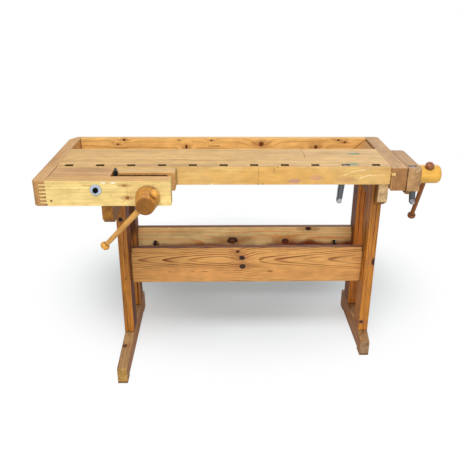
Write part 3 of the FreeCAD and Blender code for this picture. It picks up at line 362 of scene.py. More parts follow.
patches = node(tree, "TexNoise", {"Vector": g_in["Place"], "Scale": 14, "Detail": 4}).outputs["Fac"]
# Paler edges: partly rubbed by use, partly a painted highlight where the rounded edges catch the light.
rubbed_and_lit_edge = times(tree, step_up(tree, corner, 0.01, 0.12), step_up(tree, patches, 0.35, 0.6))
wear_and_light_colour = blend_colour(tree, times(tree, rubbed_and_lit_edge, g_in["Edge"]), g_in["Color"], g_in["Rubbed and lit"])
smudge = step_up(tree, noise(tree, g_in["Place"], smudge_waves, 6), 0.46, 0.70)
wear_and_light_colour = blend_colour(tree, times(tree, smudge, g_in["Grime"]), wear_and_light_colour, g_in["Dirt"])
mottled = plus(tree, 1, spread(tree, noise(tree, g_in["Place"], mottle_waves, 4), g_in["Mottle"]))
mottled = node(tree, "CombineColor", {i: mottled for i in range(3)}).outputs[0]
wear_and_light_colour = blend_colour(tree, 1.0, wear_and_light_colour, mottled, "MULTIPLY")
slash = vectors(tree, "MULTIPLY", g_in["Place"], slash_waves)
slash = node(tree, "TexVoronoi", {"Vector": slash, "Scale": 1}, feature="DISTANCE_TO_EDGE").outputs[0]
rare = node(tree, "TexNoise", {"Vector": g_in["Place"], "Scale": 17, "Detail": 2}).outputs["Fac"]
cut_mask = times(tree, maths(tree, "SUBTRACT", 0.55, step_up(tree, slash, 0.0, 0.06)),
                 step_up(tree, rare, 0.55, 0.68))
cut_mask = maths(tree, "MAXIMUM", cut_mask, 0)
speck = vectors(tree, "MULTIPLY", g_in["Place"], speck_waves)
speck = node(tree, "TexVoronoi", {"Vector": speck, "Scale": 1})
chosen = node(tree, "SeparateColor", {0: speck.outputs["Color"]}).outputs[0]
fleck = times(tree, rest_of(tree, step_up(tree, speck.outputs["Distance"], 0.06, 0.16)),
              step_up(tree, chosen, 0.76, 0.8))
cut_mask = times(tree, maths(tree, "MAXIMUM", cut_mask, fleck), g_in["Cuts"])
wear_and_light_colour = blend_colour(tree, cut_mask, wear_and_light_colour, g_in["Dirt"])
# Painted shade: corners, creases and crevices are darkened towards near black, found by ambient occlusion.
closeness = node(tree, "AmbientOcclusion", {"Distance": 0.007}, samples=6).outputs["AO"]
painted_crevice_shade = times(tree, rest_of(tree, step_up(tree, closeness, 0.40, 0.95)), g_in["Seam"])
wear_and_light_colour = blend_colour(tree, painted_crevice_shade, wear_and_light_colour, crevice_shade_colour)
roughness = node(tree, "MapRange", {"Value": patches, "To Min": 0.42, "To Max": 0.66}).outputs[0]
tree.links.new(wear_and_light_colour, g_out["Color"])
tree.links.new(roughness, g_out["Roughness"])
tree.links.new(rest_of(tree, plus(tree, cut_mask, times(tree, rubbed_and_lit_edge, 0.3))), g_out["Dents"])

# The bench's axes as the wood sees them: first along the grain, then across it.
GRAIN_ORDER = {"X": (0, 1, 2), "Y": (1, 0, 2), "Z": (2, 0, 1)}


def timber(name, grain, early, late, ring=0.006, heart=(0, -0.2, -0.3), taper=0.0, sway=0.02, contrast=0.6,
           streak=0.35, fleck=0.45, drift=0.35, boards=None, knots=(), blots=(), scores=(), tints=(),
           edge=0.5, grime=0.35, cuts=0.3, dirt="6B4A28", rubbed_and_lit="F2D59A", gloss=0.0):
    """Wood whose grain runs along an axis. Every mark is placed in the bench's own metres.

    Boards: the axis across the strips, their width and how unlike they are. Knots: centre, size,
    core colour, how far the core is opened by its eye. Blots: centre, size, colour, strength.
    Scores: start, end, bow, width, colour, strength. Tints: direction, colour, strength.
    """
    # How strongly the wear group paints shade into crevices and corners, and the depth of the grain's relief.
    crevice_shade, relief = 0.75, 0.00035
    made, tree = material_named(name)
    bench_place = node(tree, "TexCoord").outputs["Object"]
    parts = node(tree, "SeparateXYZ", {0: bench_place}).outputs
    order = GRAIN_ORDER[grain]
    place = node(tree, "CombineXYZ", {i: parts[order[i]] for i in range(3)}).outputs[0]
    shifted = place
    board_tone = None
    if boards:
        axis, width, unlike = boards
        lane = maths(tree, "FLOOR", maths(tree, "DIVIDE", parts[axis], width))
        dice = node(tree, "TexWhiteNoise", {"W": lane}, noise_dimensions="1D")
        cut_elsewhere = vectors(tree, "MULTIPLY", dice.outputs["Color"], (1.7, 0.25, 0.25))
        shifted = vectors(tree, "ADD", place, cut_elsewhere)
        board_tone = node(tree, "MapRange", {"Value": dice.outputs["Value"], "To Min": 1 - unlike}).outputs[0]
    swirl = 0.0
    for centre, size, _, _ in knots:
        swirl = use_group(tree, knot, {"Place": bench_place, "Centre": centre, "Size": size,
                                       "Swirl": swirl})["Swirl"]
    figured = use_group(tree, figure, {"Place": shifted, "Heart": tuple(heart[i] for i in order),
                                       "Ring width": ring, "Taper": taper, "Sway": sway, "Swirl": swirl,
                                       "Contrast": contrast, "Streak": streak, "Fleck": fleck,
                                       "Drift": drift, "Early": tint(early), "Late": tint(late)})
    colour = figured["Color"]
    if board_tone is not None:
        grey = node(tree, "CombineColor", {i: board_tone for i in range(3)}).outputs[0]
        colour = blend_colour(tree, 1.0, colour, grey, "MULTIPLY")
    for direction, stain, strength in tints:
        colour = use_group(tree, facing, {"Color": colour, "Direction": direction, "Stain": (*stain, 1),
                                          "Strength": strength})["Color"]
    for centre, size, core, eye in knots:
        colour = use_group(tree, knot, {"Place": bench_place, "Centre": centre, "Size": size, "Color": colour,
                                        "Core": tint(core), "Open": eye})["Color"]
    for centre, size, stain, strength in blots:
        colour = use_group(tree, blot, {"Place": bench_place, "Color": colour, "Centre": centre, "Size": size,
                                        "Stain": tint(stain), "Strength": strength})["Color"]
    for start, end, bow, width, ink, strength in scores:
        colour = use_group(tree, score, {"Place": bench_place, "Color": colour, "From": start, "To": end,
                                         "Bow": bow, "Width": width, "Ink": tint(ink),
                                         "Strength": strength})["Color"]
    overlay = use_group(tree, wear_and_light, {"Place": place, "Color": colour, "Edge": edge, "Grime": grime, "Cuts": cuts,
                                  "Seam": crevice_shade, "Dirt": tint(dirt), "Rubbed and lit": tint(rubbed_and_lit)})
    height = plus(tree, times(tree, figured["Relief"], 0.6), overlay["Dents"])
    bump = node(tree, "Bump", {"Height": height, "Strength": 0.6, "Distance": relief})
    shader = node(tree, "BsdfPrincipled", {"Base Color": overlay["Color"], "Roughness": overlay["Roughness"],
                                           "Normal": bump.outputs[0], "Specular IOR Level": 0.28,
                                           "Coat Roughness": 0.25, "Coat Weight": gloss})
    node(tree, "OutputMaterial", {"Surface": shader.outputs[0]})
    return made


def dress(name, material, ease=0.0012):
    """Gives a piece its material and softens its sharp edges."""
    piece = NODES[name]
    piece.data.materials.clear()
    piece.data.materials.append(material)
    if ease:
        weld = piece.modifiers.new("joined_faces", "WELD")
        weld.merge_threshold = 0.00001
        whole = piece.modifiers.new("whole_faces", "DECIMATE")
        whole.decimate_type = "DISSOLVE"
        whole.angle_limit = math.radians(0.5)
        soft = piece.modifiers.new("eased_edges", "BEVEL")
        soft.width = ease
        soft.segments = 2
        soft.limit_method = "ANGLE"
        soft.angle_limit = math.radians(35)
        soft.use_clamp_overlap = False
        flat = piece.modifiers.new("flat_faces", "WEIGHTED_NORMAL")
        flat.weight = 100
        flat.keep_sharp = False


TOP = 0.850
UP, FRONT, BACK, LEFT, RIGHT = (0, 0, 1), (0, -1, 0), (0, 1, 0), (-1, 0, 0), (1, 0, 0)
# Painted shade: the walls inside the dog holes are painted near black, as they lie in deep shade.
HOLE_SHADE = (0.07, 0.045, 0.03)


def top_dash(x, y, length, ink="2A1A0E", width=0.0016):
    """A short dark mark on the work surface."""
    return ((x - length / 2, y, TOP), (x + length / 2, y + 0.001, TOP), (0, 0, 0), width, ink, 0.85)


slab_scores = [((0.2327, 0.1495, TOP), (0.2353, 0.0214, TOP), (0.004, 0, 0), 0.0022, "4A3520", 0.85),
               ((0.200, 0.070, TOP), (0.345, 0.078, TOP), (0, 0.006, 0), 0.0013, "8A6B3C", 0.7),
               ((0.215, 0.045, TOP), (0.330, 0.030, TOP), (0, -0.008, 0), 0.0013, "8A6B3C", 0.6),
               ((0.02, 0.110, TOP), (0.25, 0.120, TOP), (0, 0.004, 0), 0.0012, "A98550", 0.6),
               ((-0.40, 0.060, TOP), (-0.27, 0.064, TOP), (0, 0.003, 0), 0.0014, "8F5A3A", 0.6),
               ((-0.21, 0.050, TOP), (-0.11, 0.052, TOP), (0, -0.003, 0), 0.0013, "9C7440", 0.6),
               ((0.300, 0.125, TOP), (0.520, 0.118, TOP), (0, 0.004, 0), 0.0012, "A07A48", 0.5),
               *[top_dash(*dash) for dash in (
                   (-0.335, -0.010, 0.018), (-0.300, 0.020, 0.010), (-0.430, 0.100, 0.006),
                   (-0.330, -0.045, 0.030, "7A4A30"), (-0.255, 0.045, 0.005), (-0.150, -0.020, 0.012),
                   (-0.060, 0.055, 0.008, "5A3420"), (0.035, -0.035, 0.016, "6A4428"),
                   (0.130, 0.090, 0.010, "6A4428"), (-0.520, 0.040, 0.008), (0.420, 0.020, 0.012),
                   (0.480, -0.030, 0.020, "7A4A30"))]]
dress("top_slab", timber(
    "slab_wood", "X", "F3C982", "A0683A", ring=0.0045, heart=(0, -0.3, 0.05), contrast=0.35, sway=0.03,
    streak=0.9, fleck=0.6, boards=(1, 0.072, 0.08), grime=0.22, cuts=0.75, dirt="8F6436", rubbed_and_lit="F4DCA8",
    scores=slab_scores,
    blots=[((0.411, -0.064, TOP), (0.024, 0.016, 0.01), "4F8E78", 0.75),
           ((0.444, 0.081, TOP), (0.034, 0.018, 0.01), "3F8F72", 0.75),
           ((0.460, 0.078, TOP), (0.012, 0.008, 0.01), "1F5A45", 0.8),
           ((-0.27, 0.00, TOP), (0.05, 0.006, 0.01), "9A5A3C", 0.5),
           ((0.26, 0.06, TOP), (0.07, 0.03, 0.01), "C49458", 0.35)],
    # Painted shade: the slab's front faces show only inside the dog holes and are painted near black.
    tints=[(FRONT, HOLE_SHADE, 1.0)]), 0.001)
dress("dog_strip", timber(
    "dog_strip_wood", "X", "EAC488", "A56F38", ring=0.005, heart=(0, -0.25, 0.1), contrast=0.35, streak=0.8,
    boards=(0, 0.1175, 0.07), grime=0.35, cuts=0.5, dirt="7A5028",
    blots=[((0.411, -0.075, TOP), (0.024, 0.012, 0.01), "4F8E78", 0.75)],
    # Painted shade: the end walls of the dog holes are painted near black.
    tints=[(LEFT, HOLE_SHADE, 1.0), (RIGHT, HOLE_SHADE, 1.0)]), 0.0006)
RAIL_FACE = -0.108
rail_scores = [
    ((0.042, RAIL_FACE, 0.848), (0.042, RAIL_FACE, 0.784), (0, 0, 0), 0.0012, "8A5A26", 0.8),
    ((0.0988, RAIL_FACE, 0.8475), (0.1013, RAIL_FACE, 0.8278), (0.002, 0, 0), 0.0022, "6E4520", 0.8),
    ((0.370, RAIL_FACE, 0.817), (0.4487, RAIL_FACE, 0.838), (0, 0, 0.006), 0.0022, "FFF3CC", 0.75),
    ((0.395, RAIL_FACE, 0.828), (0.470, RAIL_FACE, 0.842), (0, 0, 0.003), 0.0014, "FFEFC4", 0.6),
    ((0.4326, RAIL_FACE, 0.8054), (0.4764, RAIL_FACE, 0.8181), (0, 0, 0.002), 0.0020, "FFF0C8", 0.7),
    ((0.480, RAIL_FACE, 0.812), (0.525, RAIL_FACE, 0.822), (0, 0, 0.003), 0.0012, "FFEFC4", 0.4)
]
dress("front_rail", timber(
    "front_rail_wood", "X", "E6BE74", "AE7A3C", ring=0.007, heart=(0, -0.16, 0.62), contrast=0.25, streak=0.6,
    fleck=0.6, grime=0.2, cuts=0.45, dirt="8B5B2A", rubbed_and_lit="F5D99B", edge=0.7, scores=rail_scores,
    blots=[((0.180, RAIL_FACE, 0.792), (0.026, 0.02, 0.012), "8C6A9C", 0.75),
           ((0.265, RAIL_FACE, 0.808), (0.034, 0.02, 0.013), "B08090", 0.55),
           ((0.380, RAIL_FACE, 0.800), (0.05, 0.02, 0.016), "C39468", 0.5),
           ((0.12, RAIL_FACE, 0.815), (0.30, 0.03, 0.06), "D99A40", 0.45),
           ((-0.1361, RAIL_FACE, 0.7818), (0.004, 0.01, 0.0025), "FFFFFF", 0.95),
           ((0.041, RAIL_FACE, 0.7825), (0.004, 0.01, 0.003), "1A0E06", 0.95),
           ((0.060, RAIL_FACE, 0.7835), (0.004, 0.01, 0.003), "4A2E14", 0.85),
           ((0.115, RAIL_FACE, 0.849), (0.003, 0.004, 0.002), "2A1A10", 0.9)],
    # Painted shade: the rail's back face shows only inside the dog holes and is painted near black.
    tints=[(BACK, HOLE_SHADE, 1.0), (UP, (0.90, 0.86, 0.86), 1.0)]), 0.0018)


# ---- End caps ---------------------------------------------------------------
# A board across each end of the top, grooved for the top's tongues. They are
# oiled beech, browner than the top and scuffed by use.

dress("left_end_cap", timber(
    "left_cap_wood", "Y", "DFAF74", "9A6834", ring=0.004, heart=(-0.9, 0, 0.5), contrast=0.4, streak=0.7,
    grime=0.3, cuts=0.5, dirt="7A5230", edge=0.5, tints=[(FRONT, (0.80, 0.72, 0.64), 1.0)]), 0.002)
dress("right_end_cap", timber(
    "right_cap_wood", "Y", "DAAA72", "8E5F34", ring=0.004, heart=(0.9, 0, 0.62), contrast=0.4, streak=0.7,
    grime=0.4, cuts=0.6, dirt="6A4526", edge=0.5, tints=[(FRONT, (0.63, 0.53, 0.46), 1.0)]), 0.002)


# ---- Tool tray --------------------------------------------------------------
# A thin pine board in grooves behind the slab, closed by a rail of knotty
# pine and swept clean over a sloping block at its right end.

TRAY_FACE = 0.336


def rail_knot(x, z, wide, tall, core="4A1E08", eye=0.0):
    """A knot in the tray side of the back rail."""
    return ((x, TRAY_FACE, z), (wide, 0.02, tall), core, eye)


dress("back_rail", timber(
    "back_rail_pine", "X", "FFD080", "BC7A30", ring=0.010, heart=(0, 0.25, 0.79), sway=0.03, contrast=0.6,
    streak=0.7, grime=0.15, cuts=0.2, dirt="8F5E2C", edge=0.4, rubbed_and_lit="D9B88A",
    knots=[rail_knot(*spot) for spot in (
        (-0.5582, 0.8233, 0.005, 0.004), (-0.5288, 0.8442, 0.007, 0.005, "5A260A"),
        (-0.2851, 0.8421, 0.004, 0.003), (-0.2543, 0.8117, 0.006, 0.010, "5A260A"),
        (-0.1422, 0.8413, 0.005, 0.004, "2A0E04"), (0.0807, 0.8247, 0.012, 0.012, "6B3410", 0.3),
        (0.3272, 0.8107, 0.009, 0.009, "6B3410", 0.2), (0.4274, 0.8423, 0.006, 0.004),
        (0.4561, 0.8328, 0.006, 0.005, "6A1E08"))],
    scores=[
        ((-0.153, TRAY_FACE, 0.8163), (-0.104, TRAY_FACE, 0.8163), (0, 0, -0.001), 0.0024, "1E140C", 0.95),
        ((-0.60, TRAY_FACE, 0.8300), (-0.35, TRAY_FACE, 0.8320), (0, 0, 0.002), 0.0012, "B87E3A", 0.5),
        ((0.12, TRAY_FACE, 0.8350), (0.40, TRAY_FACE, 0.8330), (0, 0, 0.002), 0.0012, "B87E3A", 0.5)]),
    0.0015)
dress("tray_bottom", timber(
    "tray_pine", "X", "D9A96B", "A9713A", ring=0.008, heart=(0, 0.2, 0.6), contrast=0.5,
    boards=(1, 0.09, 0.12), grime=0.55, cuts=0.2, dirt="6E4722"), 0)
dress("tray_ramp", timber("ramp_wood", "Y", "D9A362", "A56C34", ring=0.006, contrast=0.5, grime=0.4), 0.0008)


# ---- Shoulder vise: block and beam --------------------------------------------
# The beam is fingered into the left end cap and pulled against the block by a
# threaded rod with a zinc-plated washer and a sunk black nut.

BEAM_FACE = -0.273
dress("fixed_block", timber(
    "block_wood", "X", "E2B278", "8A5A30", ring=0.0045, heart=(0, -0.3, 0.80), taper=14, sway=0.05,
    # Painted shade: the block's right face, which lies in shade beside the chop, is darkened.
    contrast=0.7, streak=0.7, tints=[(RIGHT, (0.5, 0.36, 0.26), 1.0)], grime=0.3, cuts=0.4, dirt="7A5230",
    scores=[top_dash(-0.560, -0.140, 0.012), top_dash(-0.545, -0.165, 0.020, "5A3A24", 0.002)]), 0.0015)
dress("vise_beam", timber(
    "beam_wood", "X", "F8DE92", "BE8E46", ring=0.007, heart=(0, -0.45, 0.70), contrast=0.3, streak=0.75,
    fleck=0.7, grime=0.2, cuts=0.9, dirt="8E602C", rubbed_and_lit="F9E6B4", edge=0.5,
    knots=[((-0.434, BEAM_FACE, 0.7866), (0.007, 0.02, 0.006), "7A4214", 0),
           ((-0.443, BEAM_FACE, 0.833), (0.007, 0.02, 0.004), "A0722A", 0)],
    # The two near-white spots just under the top front edge are painted highlights, where the rounded edge
    # catches the light.
    blots=[((-0.516, BEAM_FACE, 0.8426), (0.010, 0.01, 0.003), "FFFDF5", 0.9),
           ((-0.482, BEAM_FACE, 0.8426), (0.011, 0.01, 0.0035), "FFFDF5", 0.9),
           ((-0.705, BEAM_FACE, 0.776), (0.005, 0.01, 0.005), "5A2A10", 0.9),
           ((-0.575, BEAM_FACE, 0.833), (0.020, 0.01, 0.004), "C98E50", 0.6)],
    scores=[((-0.434, BEAM_FACE, 0.795), (-0.434, BEAM_FACE, 0.845), (0.001, 0, 0), 0.0012, "B07A30", 0.6),
            ((-0.434, BEAM_FACE, 0.7866), (-0.455, BEAM_FACE, 0.768), (0, 0, 0), 0.0030, "C0903E", 0.5),
            ((-0.670, BEAM_FACE, 0.786), (-0.640, BEAM_FACE, 0.787), (0, 0, 0), 0.0012, "B08040", 0.7)],
    tints=[(UP, (0.80, 0.62, 0.60), 1.0)]), 0.0018)


def metal(name, colour, roughness, metallic=1.0, scratch=0.15, glint=None):
    """Bare or plated metal with fine scratches, a little dirt and, if wished, a painted highlight: a paler
    patch where the light catches it.
    """
    pits, pit_depth, dulled = 220, 0.00012, 0.45
    made, tree = material_named(name)
    place = node(tree, "TexCoord").outputs["Object"]
    grainy = node(tree, "TexNoise", {"Vector": place, "Scale": pits, "Detail": 4}).outputs["Fac"]
    cloudy = node(tree, "TexNoise", {"Vector": place, "Scale": 35, "Detail": 3}).outputs["Fac"]
    dark = tuple(c * dulled for c in tint(colour)[:3]) + (1,)
    shade = blend_colour(tree, times(tree, step_up(tree, cloudy, 0.45, 0.75), 0.5), tint(colour), dark)
    # Painted highlight: a paler patch where the light catches the metal.
    if glint:
        centre, size, overlay = glint
        shade = use_group(tree, blot, {"Place": place, "Color": shade, "Centre": centre, "Size": size,
                                       "Stain": tint(overlay), "Strength": 0.85})["Color"]
    rough = plus(tree, roughness, times(tree, grainy, scratch))
    dents = node(tree, "Bump", {"Height": grainy, "Strength": 0.5, "Distance": pit_depth})
    shader = node(tree, "BsdfPrincipled", {"Base Color": shade, "Roughness": rough, "Metallic": metallic,
                                           "Normal": dents.outputs[0]})
    node(tree, "OutputMaterial", {"Surface": shader.outputs[0]})
    return made


zinc = metal("zinc_plate", "C3D0DC", 0.38, 0.85)
blackened = metal("blackened_steel", "101012", 0.55, 0.9)
bright_steel = metal("bright_steel", "9A9CA0", 0.28)
cast_iron = metal("cast_iron_nut", "3A3A3C", 0.6, 0.8)
dress("beam_washer", zinc, 0.0004)
dress("beam_nut", blackened, 0.0006)
dress("beam_bolt", blackened, 0.0006)
dress("beam_bolt_anchor", bright_steel, 0)
dress("front_nut", cast_iron, 0.0006)


# ---- Shoulder vise: chop, screw, hub and bar ----------------------------------
# A loose beech jaw runs between the block and the rail on a black ribbed shoe.
# A steel screw with a turned wooden hub pushes it, worked by a sliding bar.

CHOP_FACE = -0.174
# Painted shade: the chop's front face is darkened, and the dark band near its top stands for the shadow in
# the gap between the chop and the beam.
dress("front_chop", timber(
    "chop_wood", "X", "E6BE80", "B58448", ring=0.006, heart=(0, -0.3, 0.6), contrast=0.35, grime=0.3,
    cuts=0.4, streak=0.7, dirt="7A5230", rubbed_and_lit="F2D8A4", tints=[(FRONT, (0.78, 0.64, 0.52), 1.0)],
    scores=[((-0.495, CHOP_FACE, 0.8365), (-0.300, CHOP_FACE, 0.8365), (0, 0, 0), 0.007, "2A1606", 0.95)]),
    0.003)
dress("chop_guide_shoe", metal("black_shoe", "17171A", 0.55, 0.0), 0.0005)
dress("front_garter_plate", zinc, 0.0005)


def new_tree(name, sizes):
    """Node tree that makes one shape for every spot; its sizes are named inputs, in metres."""
    tree = bpy.data.node_groups.new(name, "GeometryNodeTree")
    tree.interface.new_socket("Spots", in_out="INPUT", socket_type="NodeSocketGeometry")
    for label, value in sizes.items():
        tree.interface.new_socket(label, in_out="INPUT", socket_type="NodeSocketFloat").default_value = value
    tree.interface.new_socket("Material", in_out="INPUT", socket_type="NodeSocketMaterial")
    tree.interface.new_socket("Pieces", in_out="OUTPUT", socket_type="NodeSocketGeometry")
    return tree, tree.nodes.new("NodeGroupInput").outputs


def end_tree(tree, given, shapes):
    """Joins the shapes and sets them on every spot with their Z along the spot's aim."""
    joined = tree.nodes.new("GeometryNodeJoinGeometry")
    for shape in shapes:
        tree.links.new(shape, joined.inputs[0])
    aim = node(tree, "GeometryNodeInputNamedAttribute", {"Name": "aim"}, data_type="FLOAT_VECTOR").outputs[0]
    turned = node(tree, "FunctionNodeAlignRotationToVector", {"Vector": aim}, axis="Z").outputs[0]
    placed = node(tree, "GeometryNodeInstanceOnPoints", {
        "Points": given["Spots"], "Instance": joined.outputs[0], "Rotation": turned}).outputs[0]
    real = node(tree, "GeometryNodeRealizeInstances", {"Geometry": placed}).outputs[0]
    painted = node(tree, "GeometryNodeSetMaterial", {"Geometry": real, "Material": given["Material"]})
    tree.links.new(painted.outputs[0], tree.nodes.new("NodeGroupOutput").inputs[0])


def lifted(tree, shape, height):
    """Moves a shape up its own Z."""
    offset = node(tree, "CombineXYZ", {2: height}).outputs[0]
    return node(tree, "GeometryNodeTransform", {"Geometry": shape, "Translation": offset}).outputs[0]


def grown(tree, material, aim, spots, **sizes):
    """Plain mesh that a node tree makes on the given spots."""
    mesh = bpy.data.meshes.new(tree.name + "_spots")
    mesh.from_pydata(spots, [], [])
    mesh.attributes.new("aim", "FLOAT_VECTOR", "POINT").data.foreach_set("vector", aim * len(spots))
    source = added(tree.name + "_source", mesh)
    grower = source.modifiers.new("grown", "NODES")
    grower.node_group = tree
    for item in tree.interface.items_tree:
        if item.name == "Material":
            grower[item.identifier] = material
        elif item.name in sizes:
            grower[item.identifier] = sizes[item.name]
    depsgraph = bpy.context.evaluated_depsgraph_get()
    plain = bpy.data.meshes.new_from_object(source.evaluated_get(depsgraph))
    source.modifiers.remove(grower)
    bpy.data.objects.remove(source)
    return plain


def stand_in(name, meshes, material, body):
    """One piece made of meshes, in place of the CAD node of the same name."""
    same_place = 0.000001
    whole = bmesh.new()
    for mesh in meshes:
        whole.from_mesh(mesh)
    bmesh.ops.remove_doubles(whole, verts=whole.verts, dist=same_place)
    joined = bpy.data.meshes.new(name + "_shown")
    whole.to_mesh(joined)
    whole.free()
    joined.materials.append(material)
    joined.polygons.foreach_set("material_index", [0] * len(joined.polygons))
    piece = added(name + "_shown", joined)
    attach(piece, body)
    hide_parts(name)


# A ridge with sloping flanks, wound round the screw's core as a right-hand thread.
# Reverse gives that hand. Half of the ridge's section is sunk in the core.
PITCH, CREST, ROOT = 0.006, 0.012, 0.0104
foot_share, tip_share, steps_a_turn = 0.62, 0.34, 28
thread_tree, given = new_tree("screw_thread", {"Length": 0.1, "Pitch": PITCH, "Root": ROOT,
                                               "Depth": CREST - ROOT})
tree = thread_tree
turns = maths(tree, "DIVIDE", given["Length"], given["Pitch"])
helix = node(tree, "GeometryNodeCurveSpiral", {
    "Resolution": steps_a_turn, "Reverse": True, "Start Radius": given["Root"], "End Radius": given["Root"],
    "Height": given["Length"], "Rotations": turns})
upright = node(tree, "GeometryNodeSetCurveNormal", {"Curve": helix.outputs[0]}, mode="Z_UP").outputs[0]
flank = node(tree, "GeometryNodeCurvePrimitiveQuadrilateral", {
    "Bottom Width": times(tree, given["Pitch"], foot_share), "Offset": 0,
    "Top Width": times(tree, given["Pitch"], tip_share),
    "Height": times(tree, given["Depth"], 2)}, mode="TRAPEZOID").outputs[0]
quarter_turn = (0, 0, math.radians(90))
flank = node(tree, "GeometryNodeTransform", {"Geometry": flank, "Rotation": quarter_turn}).outputs[0]
ridge = node(tree, "GeometryNodeCurveToMesh", {"Curve": upright, "Profile Curve": flank, "Fill Caps": True})
end_tree(tree, given, [ridge.outputs[0]])


def threaded(name, centre, along, start, end):
    """A copy of a plain CAD screw, turned down between two places and wound with a thread."""
    near, run_out = 0.0002, 0.004
    shaft = NODES[name].data.copy()
    across = [i for i in range(3) if i != along]
    for point in shaft.vertices:
        away = math.hypot(*[point.co[i] - centre[i] for i in across])
        if abs(away - CREST) < near and start - run_out < point.co[along] < end + run_out:
            for i in across:
                point.co[i] = centre[i] + (point.co[i] - centre[i]) * ROOT / CREST
    spot, aim = list(centre), [0.0, 0.0, 0.0]
    spot[along], aim[along] = start, 1.0
    wound = grown(thread_tree, bright_steel, aim, [spot], Length=end - start)
    stand_in(name, [shaft, wound], bright_steel, name)


threaded("front_screw", (-0.361, 0, 0.789), 1, BEAM_FACE, CHOP_FACE - 0.004)
dress("front_hub", timber(
    "front_hub_wood", "Y", "D89338", "8E5418", ring=0.0035, heart=(-0.362, -0.36, 0.787), sway=0.004,
    contrast=0.6, streak=0.8, grime=0.45, cuts=0.25, dirt="5A3210", rubbed_and_lit="DFA663", edge=0.4, gloss=0.2,
    blots=[((-0.361, -0.369, 0.789), (0.003, 0.01, 0.003), "3A1C08", 0.8)],
    tints=[(FRONT, (0.49, 0.43, 0.11), 1.0)]), 0)
turned = dict(ring=0.004, contrast=0.4)
dress("front_bar", timber("front_bar_wood", "X", "DCA658", "AC7230", grime=0.4, cuts=0.1, dirt="8A5A28",
                          gloss=0.15, **turned), 0)
dress("front_bar_knobs", timber("front_knob_wood", "X", "EAA83E", "BC7C30", grime=0.3, cuts=0.1,
                                dirt="7A4A18", gloss=0.4, **turned), 0)


# ---- End vise -----------------------------------------------------------------
# A beech jaw across the right end, guided by two steel rods and moved by a
# screw with a lacquered hub. Its top and front are darkened by hands and glue.

JAW_FACE = -0.130
dress("tail_jaw", timber(
    "jaw_wood", "Y", "C79C68", "74492A", ring=0.0045, heart=(0.1, 0.45, 0.7), contrast=0.5, streak=0.8,
    grime=0.45, cuts=0.7, dirt="6A4526",
    scores=[((0.640, JAW_FACE, 0.835), (0.660, JAW_FACE, 0.850), (0, 0, 0.002), 0.0025, "FFF0C8", 0.7),
            ((0.630, JAW_FACE, 0.815), (0.652, JAW_FACE, 0.822), (0, 0, 0.002), 0.0016, "F4DDB0", 0.6),
            ((0.602, JAW_FACE, 0.805), (0.640, JAW_FACE, 0.803), (0, 0, 0.001), 0.0014, "4A2A18", 0.6)]),
    0.002)
dress("jaw_dog_rest", timber("rest_wood", "Y", "9A7040", "6A4520", grime=0.5), 0.001)
dress("tail_guide_rods", bright_steel, 0.0006)
dress("tail_garter_plate", zinc, 0.0004)
dress("tail_nut", cast_iron, 0)
threaded("tail_screw", (0, -0.032, 0.799), 0, 0.376, 0.609)
dress("tail_hub", timber(
    "tail_hub_wood", "X", "F4BE4E", "C4822A", heart=(0, 0.1, 0.86), sway=0.004, grime=0.2, cuts=0.05,
    dirt="A8702A", rubbed_and_lit="FFE2A0", gloss=0.5, **turned), 0)
dress("tail_bar", timber("tail_bar_wood", "Z", "9A5A20", "4E2A0E", grime=0.3, cuts=0.1, gloss=0.3,
                         **turned), 0)
dress("tail_bar_knobs", timber("tail_knob_wood", "Z", "9C5420", "5A270B", grime=0.2, cuts=0.05, gloss=0.6,
                               **turned), 0)


# ---- Bench dogs ---------------------------------------------------------------
# Square steel dogs that lean towards each other, each held at any height by a
# leaf spring riveted to its side.

for name, tip in (("bench_dog", (0.366, -0.0785, 0.706)), ("jaw_dog", (0.652, -0.094, 0.706))):
    # Painted highlight: the rounded lower end of each dog is painted pale where it catches the light.
    glint_at_tip = (tip, (0.02, 0.02, 0.016), "B9BCC0")
    dress(name, metal(name + "_steel", "5C5E62", 0.42, 0.7, 0.2, glint_at_tip), 0.0008)
    dress(name + "_spring", bright_steel, 0)


# ---- Trestle ------------------------------------------------------------------
# Two frames of pine posts on shaped feet, lapped into bearers that are screwed
# to the slab, tied by two wide stretchers with bolts into sunk nuts.

stand = dict(ring=0.006, contrast=1.0, streak=1.3, fleck=0.7, drift=0.8, grime=0.35, cuts=0.4, dirt="3E1E08",
             rubbed_and_lit="D49A55", gloss=0.08)
post = dict(stand, early="CE8630", late="5E240A", sway=0.025)
# The posts' inner faces are tinted darker, redder or more olive than their fronts: partly the pine's own
# heartwood tone, partly painted shade, since the inner faces stand in shade.
shaded_red_heart = (0.30, 0.15, 0.12)
olive = (0.95, 0.88, 0.40)
POST_FACE, BACK_POST_FACE = -0.054, 0.183
dress("post_left_front", timber(
    "post_left_front_pine", "Z", heart=(-0.42, -0.09, 0), taper=3, tints=[(RIGHT, shaded_red_heart, 1.0)], **post,
    knots=[((-0.5037, POST_FACE, 0.617), (0.010, 0.02, 0.010), "100703", 0.0)],
    blots=[((-0.4995, POST_FACE, 0.350), (0.004, 0.01, 0.004), "120804", 0.95)]), 0.0015)
dress("post_left_rear", timber(
    "post_left_rear_pine", "Z", heart=(-0.45, 0.30, 0), tints=[(RIGHT, shaded_red_heart, 0.8)], taper=-3, **post,
    blots=[((-0.501, BACK_POST_FACE, 0.57), (0.06, 0.03, 0.20), "3E1206", 0.85)]), 0.0015)
dress("post_right_front", timber(
    "post_right_front_pine", "Z", heart=(0.60, -0.02, 0), taper=3, tints=[(LEFT, olive, 1.0)], **post,
    knots=[((0.540, POST_FACE, 0.424), (0.014, 0.02, 0.018), "3A140A", 0.3),
           ((0.510, POST_FACE, 0.133), (0.010, 0.02, 0.008), "3A1808", 0.3)]), 0.0015)
